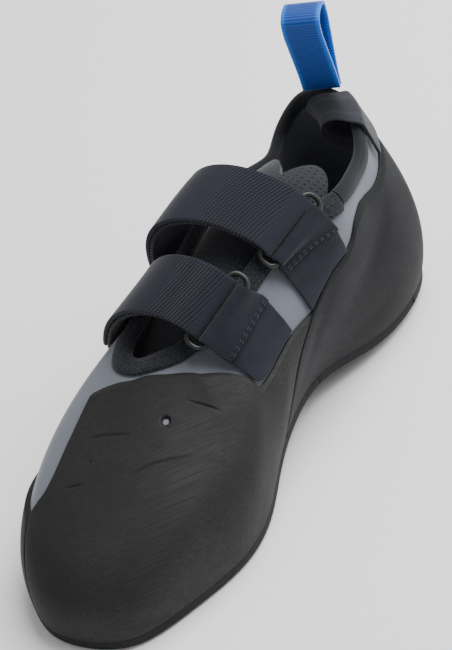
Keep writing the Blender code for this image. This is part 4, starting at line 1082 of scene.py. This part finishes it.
def ring_frame(along, turned):
    """Middle, long axis, axis towards the inner side and normal of a strap's ring."""
    stations = along + np.linspace(-0.5, 0.5, 5) * STRAP_WIDTH / LENGTH
    turn = turn_along(stations, 1.0, True)
    edge = side_point(turn, 1.0)
    lower = np.full(5, -RING_SPAN / 2.0)
    for _ in range(3):
        turn = turn_along(stations, 1.0 + lower / speed_at_edge(turn), True)
    before = side_point(turn, 1.0 + lower / speed_at_edge(turn))
    long_axis = unit(edge[-1] - edge[0])
    inward = (edge - before).mean(0)
    inward = unit(inward - long_axis * inward.dot(long_axis))
    normal = np.cross(inward, long_axis)
    if normal[2] < 0.0:
        normal = -normal
    angle = math.radians(turned)
    long_axis, inward = (long_axis * math.cos(angle) + inward * math.sin(angle),
                         inward * math.cos(angle) - long_axis * math.sin(angle))
    middle = edge.mean(0)
    bow = max(((edge - middle) @ normal).max(), ((before - middle) @ normal).max())
    lift = bow + BINDING_TOP + BASE_CLOTH + CLEAR + RING_WIRE
    return middle + normal * lift, long_axis, inward, normal


def in_frame(ring, widths, reach, height):
    """Points of a ring's frame: columns across the strap, rows along its path."""
    middle, long_axis, inward, normal = ring
    return (middle + long_axis * (widths * STRAP_WIDTH)[:, None, None]
            + inward * np.asarray(reach)[None, :, None]
            + normal * np.asarray(height)[None, :, None])


def turn_round(bar, radius, start, stop, steps):
    """Reach and height of an arc round a bar, angles in degrees from the inward axis."""
    angle = np.radians(np.linspace(start, stop, steps))
    return bar + radius * np.cos(angle), radius * np.sin(angle)


def base_points(along, turned, rubber_top):
    """Panel from the rubber's edge up to the ring, round its outer bar and back."""
    ring = ring_frame(along, turned)
    stations = along + WIDTHS * STRAP_WIDTH / LENGTH
    top_edge = edge_curve(rubber_top, np.linspace(0.0, 1.0, 200))
    top_edge[:, 0] = np.mod(top_edge[:, 0], 1.0)
    order = top_edge[:, 0].argsort()
    low = np.full(len(stations), 0.6)
    for _ in range(4):
        turn = turn_along(stations, low, True)
        low = np.interp(turn, top_edge[order, 0], top_edge[order, 1]) + BASE_EDGE
    share = np.linspace(0.0, 1.0, 40)
    rises = low[:, None] + (BASE_REACH - low[:, None]) * share[None, :]
    turn = turn_along(stations[:, None] + np.zeros(rises.shape), rises, True)
    heights = CLEAR + BASE_CLOTH / 2.0 + (BINDING_TOP - CLEAR) * smoothstep(0.5, 1.0, share)
    panel = on_upper(turn, rises, heights[None, :])
    bar = -RING_SPAN / 2.0
    radius = RING_WIRE + CLEAR + BASE_CLOTH / 2.0
    reach, height = turn_round(bar, radius, -90.0, 90.0, 16)
    fold = in_frame(ring, WIDTHS, bar + (reach - bar) * FOLD_SLACK, height)
    bridge = bezier(panel[:, -1], panel[:, -1] + (panel[:, -1] - panel[:, -2]) * 3.0,
                    fold[:, 0] - ring[2] * 0.002, fold[:, 0], np.linspace(0.0, 1.0, 8)[1:-1])
    hem = on_upper(turn, rises, heights[None, :] + BASE_CLOTH + TOUCH)[:, :-HEM_ROWS - 1:-1]
    back = bezier(fold[:, -1], fold[:, -1] - ring[2] * 0.0025, hem[:, 0] * 4.0 - hem[:, 1] * 3.0,
                  hem[:, 0], np.linspace(0.0, 1.0, 12)[1:-1])
    return np.concatenate([panel, bridge, fold, back, hem], 1)


def woven_finish(name, dark, light, thread, depth):
    """Close twill: fine diagonal ribs and a slight unevenness of the dye."""
    made, tree, shader = new_finish(name, 0.82, Sheen_Weight=0.12, Specular_IOR_Level=0.22)
    place = cloth_place(tree)
    turned = add(tree, "ShaderNodeMapping",
                 {"Vector": place, "Rotation": (0.0, 0.0, math.radians(35.0))})[0]
    ribs = add(tree, "ShaderNodeTexWave",
               {"Vector": turned, "Scale": ONE_WAVE / thread, "Distortion": 0.6})["Fac"]
    uneven = noise(tree, place, 1.0 / DYE_PATCH, 4.0)
    shade = reckon(tree, "MULTIPLY_ADD", ribs, 0.35, uneven)
    shade = reckon(tree, "SUBTRACT", shade, 0.25, clamp=True)
    cover(tree, shader, blend(tree, shade, dark, light), ribs, 0.4, depth)
    return made


twill = woven_finish("woven_twill_cloth", CLOTH_NAVY, CLOTH_NAVY_LIGHT, TWILL, 0.0002)
panel_grids = {}
for name, ring_along, _, turned, *_ in STRAPS:
    rubber_top = TOE_RUBBER_TOP if name == "front" else HEEL_RUBBER_TOP
    panel_grids[name] = base_points(ring_along, turned, rubber_top)
    panel = add_piece(sheet_mesh("ring_panel_" + name, panel_grids[name]), [twill], "cloth",
                      "strap_base_" + name)
    thicken(panel, BASE_CLOTH, 0.0, TAPE_RIM)


# Rings
# Bent steel wire of 2.2 mm in a rounded rectangle, coated black.
RING_SIDES, RING_CORNER_STEPS, RING_SIDE_STEPS = 16, 12, 12
COATED_BLACK = "#101114"
WORN_BLACK = "#08090a"
WIRE_RUBS = 400.0           # worn spots in a metre
coated_wire, tree, shader = new_finish("black_coated_steel_wire", 0.48, Coat_Weight=0.1,
                                       Coat_Roughness=0.3)
rubbed = noise(tree, body_place(tree), WIRE_RUBS, 3.0)
cover(tree, shader, blend(tree, rubbed, WORN_BLACK, COATED_BLACK), rubbed, 0.2, 0.0001)


def ring_points(along, turned):
    """A round wire carried along a rectangle with round corners."""
    middle, long_axis, inward, normal = ring_frame(along, turned)
    corner = RING_SPAN / 2.0 - 0.0005
    half_long = STRAP_WIDTH / 2.0 + corner - 0.0006
    centres = np.array([(half_long - corner, RING_SPAN / 2.0 - corner),
                        (corner - half_long, RING_SPAN / 2.0 - corner),
                        (corner - half_long, corner - RING_SPAN / 2.0),
                        (half_long - corner, corner - RING_SPAN / 2.0)])
    places = []
    ways = []
    for k, centre in enumerate(centres):
        angle = math.radians(90.0 * k) + np.linspace(0.0, 0.5 * math.pi, RING_CORNER_STEPS)
        way = np.stack([np.cos(angle), np.sin(angle)], 1)
        arc = centre + corner * way
        following = centres[(k + 1) % 4] + corner * way[-1]
        straight = np.linspace(arc[-1], following, RING_SIDE_STEPS)[1:-1]
        places += [arc, straight]
        ways += [way, np.repeat(way[-1:], len(straight), 0)]
    places, ways = np.concatenate(places), np.concatenate(ways)
    round_wire = np.linspace(0.0, 2.0 * math.pi, RING_SIDES + 1)
    out = places[:, None] + ways[:, None] * (RING_WIRE * np.cos(round_wire))[None, :, None]
    lift = RING_WIRE * np.sin(round_wire)
    return (middle + long_axis * out[..., :1] + inward * out[..., 1:]
            + normal * lift[None, :, None])


for name, ring_along, _, turned, *_ in STRAPS:
    mesh = sheet_mesh("wire_ring_" + name, ring_points(ring_along, turned), wrap=True)
    weld(mesh, 0.00001)
    add_piece(mesh, [coated_wire], "wire", "ring_" + name)


# Straps
# Ribbed webbing of 27 mm, sewn to the inner side, taken over the instep, through its ring
# and back over itself, where hook and loop hold it. The ribs run across it, and it is
# plain where it folds round the ring and at its welded end.
STRAP = 0.0018
STRAP_RIM = 0.0004
STRAP_CREST = 0.42
STRAP_END = 0.30
RIB = 0.0015
RIB_BEAD = 0.0011
WEB_NAVY = "#05060a"
WEB_NAVY_LIGHT = "#202437"
WEB_GRAIN = 0.0008
LEG_ROWS, CROWN_ROWS, FOLD_ROWS = 22, 79, 20
# Length of plain webbing beside the fold and before the loose end
PLAIN = {"front": (0.0055, 0.044), "rear": (0.0090, 0.054)}


def strap_points(ring_along, inner_along, turned, sewn, leaves, lean, shoulder):
    """Webbing along its path: up the inner side, over in an arch, round the bar and back."""
    ring = ring_frame(ring_along, turned)
    middle, long_axis, inward, normal = ring
    stations = inner_along + WIDTHS * STRAP_WIDTH / LENGTH
    rises = np.linspace(sewn, leaves, LEG_ROWS)[None, :] + 0.0 * stations[:, None]
    turn = turn_along(stations[:, None] + 0.0 * rises, rises, False)
    leg = side_point(turn, rises) + side_normal(turn, rises) * (CLEAR + STRAP / 2.0)
    bar = RING_SPAN / 2.0
    radius = RING_WIRE + CLEAR + STRAP / 2.0
    start = in_frame(ring, WIDTHS, [bar + 0.001], [-radius])[:, 0]
    top_of_leg = leg[:, -1]
    outward = plan_outward(turn_along(stations, leaves, False))
    rising = unit(outward * lean + np.array([0.0, 0.0, 1.0]))
    span = np.linalg.norm(start - top_of_leg, axis=1)[:, None]
    crown = bezier(top_of_leg, top_of_leg + rising * span * shoulder,
                   start + inward * span * STRAP_CREST, start,
                   np.linspace(0.0, 1.0, CROWN_ROWS + 1)[1:])
    under = np.concatenate([leg, crown], 1)
    reach, height = turn_round(bar, radius, 255.0, 105.0, FOLD_ROWS)
    fold = in_frame(ring, WIDTHS, bar + (reach - bar) * FOLD_SLACK, height)
    upward = unit(np.cross(np.gradient(under, axis=0), np.gradient(under, axis=1)))
    if upward[len(WIDTHS) // 2, -1].dot(normal) < 0.0:
        upward = -upward
    path = np.linalg.norm(under - under[:, -1:], axis=2)
    apart = STRAP + CLEAR
    extra = apart + (2.0 * radius - apart) * (1.0 - smoothstep(0.001, 0.012, path))
    over = (under + upward * extra[..., None])[:, ::-1]
    loose_end = int(round((leg.shape[1] - 1) * (1.0 - STRAP_END)))
    return np.concatenate([under, fold, over[:, :over.shape[1] - loose_end]], 1)


webbing, tree, shader = new_finish("ribbed_webbing", 0.74, Sheen_Weight=0.12,
                                   Specular_IOR_Level=0.28)
place = cloth_place(tree)
ribs = waves(tree, place, RIB, bands_direction="Y")
beads = waves(tree, place, RIB_BEAD, bands_direction="X")
ribs = reckon(tree, "MULTIPLY", ribs, ramp(tree, beads, 0.0, 1.0, 0.55))
plain = ramp(tree, noise(tree, place, 1.0 / WEB_GRAIN, 3.0), 0.0, 1.0, 0.15, 0.65)
weave = add(tree, "ShaderNodeMix", {0: marked(tree, "ribbed"), 2: plain, 3: ribs},
            data_type="FLOAT")[0]
cover(tree, shader, blend(tree, weave, WEB_NAVY, WEB_NAVY_LIGHT), weave, 0.8, 0.0005)

for name, *layout in STRAPS:
    points = strap_points(*layout)
    mesh = sheet_mesh("webbing_strap_" + name, points)
    run = run_along(points[len(WIDTHS) // 2])
    fold_at = run[LEG_ROWS + CROWN_ROWS + FOLD_ROWS // 2]
    by_fold, by_end = PLAIN[name]
    ribbed_share = (smoothstep(by_fold - 0.001, by_fold, np.abs(run - fold_at))
                    * smoothstep(by_end - 0.003, by_end, run[-1] - run))
    mark(mesh, "ribbed", np.repeat(ribbed_share[None, :], len(WIDTHS), 0))
    strap = add_piece(mesh, [webbing], "webbing", "strap_" + name)
    thicken(strap, STRAP, 0.0, STRAP_RIM)


# Side pull loop
# Smoother tape of 16 mm, sewn outside the collar beside the heel, turned in over the edge
# and sewn down inside. Two cords woven in along it show as lighter lines.
SIDE_TAPE = 0.016
SIDE_LOOP = 0.016
SIDE_LOOP_AT = 0.20
SIDE_LOOP_PULL = 1.1
TAPE = 0.0013
SIDE_NAVY = "#10121a"
SIDE_NAVY_LIGHT = "#30343f"
SIDE_LINE = 0.0009


def side_loop_points():
    """Tape from the outer patch, over the edge in a loop, to its foot inside."""
    middle = turn_at("heel_corner_l", SIDE_LOOP_AT)
    point = side_point(np.array([middle - 0.01, middle + 0.01]), 1.0)
    per_metre = 0.02 / np.linalg.norm(point[1] - point[0])
    turn = middle + np.linspace(-0.5, 0.5, 21) * SIDE_TAPE * per_metre
    outside = BINDING_TOP + TAPE / 2.0
    patch = by_edge(turn[:, None], np.array([-0.013, -0.008, -0.003])[None, :], outside)
    edge = by_edge(turn, 0.0, 0.0)
    outward = side_normal(turn, np.ones(len(turn)))
    across = unit(outward + np.array([SIDE_LOOP_PULL, 0.0, 0.0]))
    rising = unit(edge - by_edge(turn, -0.002, 0.0))
    inside = WALL + BINDING_TOP + TAPE / 2.0
    path = [(0.0025, outside * 0.9), (0.0062, -0.002), (0.0070, -0.45 * SIDE_LOOP),
            (0.0050, -0.85 * SIDE_LOOP), (0.0005, -SIDE_LOOP), (-0.0045, -0.90 * SIDE_LOOP),
            (-0.0080, -0.60 * SIDE_LOOP)]
    arch = np.stack([edge + rising * up + (across if out < -0.003 else outward) * out
                     for up, out in path], 1)
    foot = by_edge(turn[:, None], np.array([-0.0095, -0.0130])[None, :], -inside)
    return smooth_through(np.concatenate([patch, arch, foot], 1), 120)


def tape_finish(name, roughness, dark, light, line):
    """Smooth woven tape with fine lines across; the mark named edge lightens it: lighter
    cords on the side loop, a painted highlight along the edges of the satin loop.
    """
    made, tree, shader = new_finish(name, roughness, Sheen_Weight=0.15, Specular_IOR_Level=0.4)
    lines = waves(tree, cloth_place(tree), line, bands_direction="Y")
    shade = reckon(tree, "MULTIPLY_ADD", lines, 0.25, marked(tree, "edge"), clamp=True)
    cover(tree, shader, blend(tree, shade, dark, light), lines, 0.5, 0.0002)
    return made


def from_middle(points):
    """0 on the middle of a tape, 1 on both its edges, for each column."""
    return np.abs(np.linspace(-1.0, 1.0, len(points)))


def add_tape(name, points, lightened, finish, slot, node):
    """A tape through a grid of points, lightened by this share in each column."""
    mesh = sheet_mesh(name, points)
    mark(mesh, "edge", np.repeat(lightened[:, None], points.shape[1], 1))
    thicken(add_piece(mesh, [finish], slot, node), TAPE, 0.0, TAPE_RIM)


navy_tape = tape_finish("navy_woven_tape", 0.7, SIDE_NAVY, SIDE_NAVY_LIGHT, SIDE_LINE)
points = side_loop_points()
cords = 0.55 * np.exp(-((from_middle(points) - 0.5) / 0.07) ** 2)
add_tape("side_loop_tape", points, cords, navy_tape, "webbing", "side_pull_loop")


# Heel pull loop
# Bright blue satin tape of 16 mm, doubled into a drop and sewn in behind the collar. Its
# edges catch the light and the weave shows as fine lines across.
HEEL_TAPE = 0.016
HEEL_LOOP = 0.039
HEEL_LOOP_GAP = 0.012
HEEL_LOOP_TURN = 22.0
TAPE_BLUE = "#00307c"
TAPE_BLUE_LIGHT = "#0474e0"
TAPE_LINE = 0.0012


def heel_loop_points():
    """Tape up one leg, round the top and down the other, on the back of the collar."""
    near = np.linspace(-0.7, 0.7, 11)[:, None] * HEEL_TAPE / GIRTH
    faces = np.array([BINDING_TOP, -WALL / 2.0, -WALL - BINDING_TOP])
    rim = by_edge(near, CLEAR + BINDING, faces)
    base = rim[len(near) // 2, 1].copy()
    base[2] = rim[..., 2].max() + CLEAR
    turned = math.radians(HEEL_LOOP_TURN)
    wide = np.array([math.cos(turned), math.sin(turned), 0.0])
    deep = np.array([-math.sin(turned), math.cos(turned), 0.0])
    leg = TAPE / 2.0 + 0.0003
    heights = np.array([0.0, 0.18, 0.40, 0.62, 0.82, 0.95])
    half_gaps = np.array([0.0, 0.12, 0.42, 0.76, 1.0, 0.86])
    half = leg + half_gaps * HEEL_LOOP_GAP / 2.0
    top_angles = np.radians([60.0, 90.0, 120.0])
    depth = np.concatenate([half, HEEL_LOOP_GAP / 2.0 * np.cos(top_angles), -half[::-1]])
    rise = np.concatenate([heights, 0.95 + 0.05 * np.sin(top_angles), heights[::-1]]) * HEEL_LOOP
    widths = np.linspace(-0.5, 0.5, 17) * HEEL_TAPE
    rough = (base + wide * widths[:, None, None] + deep * depth[None, :, None]
             + np.array([0.0, 0.0, 1.0]) * rise[None, :, None])
    return smooth_through(rough, 160)


satin_tape = tape_finish("blue_satin_tape", 0.4, TAPE_BLUE, TAPE_BLUE_LIGHT, TAPE_LINE)
points = heel_loop_points()
# Painted highlight along both edges of the satin, where it catches the light.
painted_edge_highlight = 0.6 * smoothstep(0.72, 0.86, from_middle(points))
add_tape("heel_loop_tape", points, painted_edge_highlight, satin_tape, "blue_tape", "heel_pull_loop")


# Stitching
# Bonded thread of about 0.6 mm: two rows along the throat's binding, one along the
# collar's, and two across the hem of each ring panel.
THREAD = 0.00030            # its radius
STITCH = 0.0021
STITCH_GAP = 0.0008
THREAD_SIDES = 6
THREAD_GREY = "#24272f"
THREAD_DARK = "#16181d"
THREAD_TWISTS = 1500.0      # light and dark spots of the twist in a metre
bonded_thread, tree, shader = new_finish("bonded_thread", 0.6, Specular_IOR_Level=0.4)
twist = noise(tree, body_place(tree), THREAD_TWISTS, 1.0)
cover(tree, shader, blend(tree, twist, THREAD_DARK, THREAD_GREY), twist, 0.3, 0.0001)


def stitch_row(name, line, outward, slot):
    """Spindles of thread laid end to end along a line, half sunk in what they hold."""
    run = run_along(line)
    count = max(1, int(run[-1] / (STITCH + STITCH_GAP)))
    centre = (np.arange(count) + 0.5) * run[-1] / count
    at = np.stack([np.interp(centre, run, line[:, k]) for k in range(3)], 1)
    ahead = np.stack([np.interp(centre + THREAD, run, line[:, k]) for k in range(3)], 1)
    behind = np.stack([np.interp(centre - THREAD, run, line[:, k]) for k in range(3)], 1)
    up = unit(np.stack([np.interp(centre, run, outward[:, k]) for k in range(3)], 1))
    onward = unit(ahead - behind)
    aside = unit(np.cross(up, onward))
    along = np.array([-0.5, -0.36, 0.0, 0.36, 0.5]) * STITCH
    thick = np.array([0.25, 0.85, 1.0, 0.85, 0.25]) * THREAD
    angle = np.arange(THREAD_SIDES) * 2.0 * math.pi / THREAD_SIDES
    ring = np.stack([np.outer(thick, np.cos(angle)), np.outer(thick, np.sin(angle))], -1)
    points = (at[:, None, None] + onward[:, None, None] * along[None, :, None, None]
              + aside[:, None, None] * ring[None, :, :, :1]
              + up[:, None, None] * ring[None, :, :, 1:])
    i = np.arange(len(along) - 1)[:, None]
    j = np.arange(THREAD_SIDES)[None, :]
    k = (j + 1) % THREAD_SIDES
    low, high = i * THREAD_SIDES, (i + 1) * THREAD_SIDES
    side = np.stack([low + j, low + k, high + k, high + j], -1).reshape(-1, 4)
    per_stitch = len(along) * THREAD_SIDES
    offsets = np.arange(count) * per_stitch
    faces = (side[None] + offsets[:, None, None]).reshape(-1, 4).tolist()
    faces += [tuple(o + c for c in reversed(range(THREAD_SIDES))) for o in offsets]
    faces += [tuple(o + per_stitch - THREAD_SIDES + c for c in range(THREAD_SIDES))
              for o in offsets]
    mesh = bpy.data.meshes.new(name)
    mesh.from_pydata(points.reshape(-1, 3).tolist(), [], faces)
    return add_piece(mesh, [bonded_thread], slot)


def binding_seam(name, first, last, distance, height):
    """A row of stitches along a binding, at a distance from the opening's edge."""
    turn = np.linspace(first, last, 300)
    return stitch_row(name, by_edge(turn, distance, height),
                      side_normal(turn, 1.0 + distance / speed_at_edge(turn)), "mesh")


on_binding = TOUCH + 0.85 * PUFF + BINDING
binding_seam("throat_seam_upper", outer_quarter + half_seam, inner_quarter - half_seam,
             -0.0018, on_binding)
binding_seam("throat_seam_lower", outer_quarter + half_seam, inner_quarter - half_seam,
             -THROAT_BAND + 0.0014, on_binding - 0.0001)
binding_seam("collar_seam", inner_quarter + half_seam, 1.0 + outer_quarter - half_seam,
             -COLLAR_BAND + 0.0014, on_binding - 0.0001)

for name, points in panel_grids.items():
    outward = unit(np.cross(np.gradient(points, axis=0), np.gradient(points, axis=1)))
    outward *= np.sign(outward[..., 2:])
    for row, from_end in enumerate((2, 4)):
        line = points[1:-1, -from_end] + outward[1:-1, -from_end] * (0.5 * BASE_CLOTH + TOUCH)
        stitch_row("hem_seam_" + name + "_" + str(row), line, outward[1:-1, -from_end], "cloth")
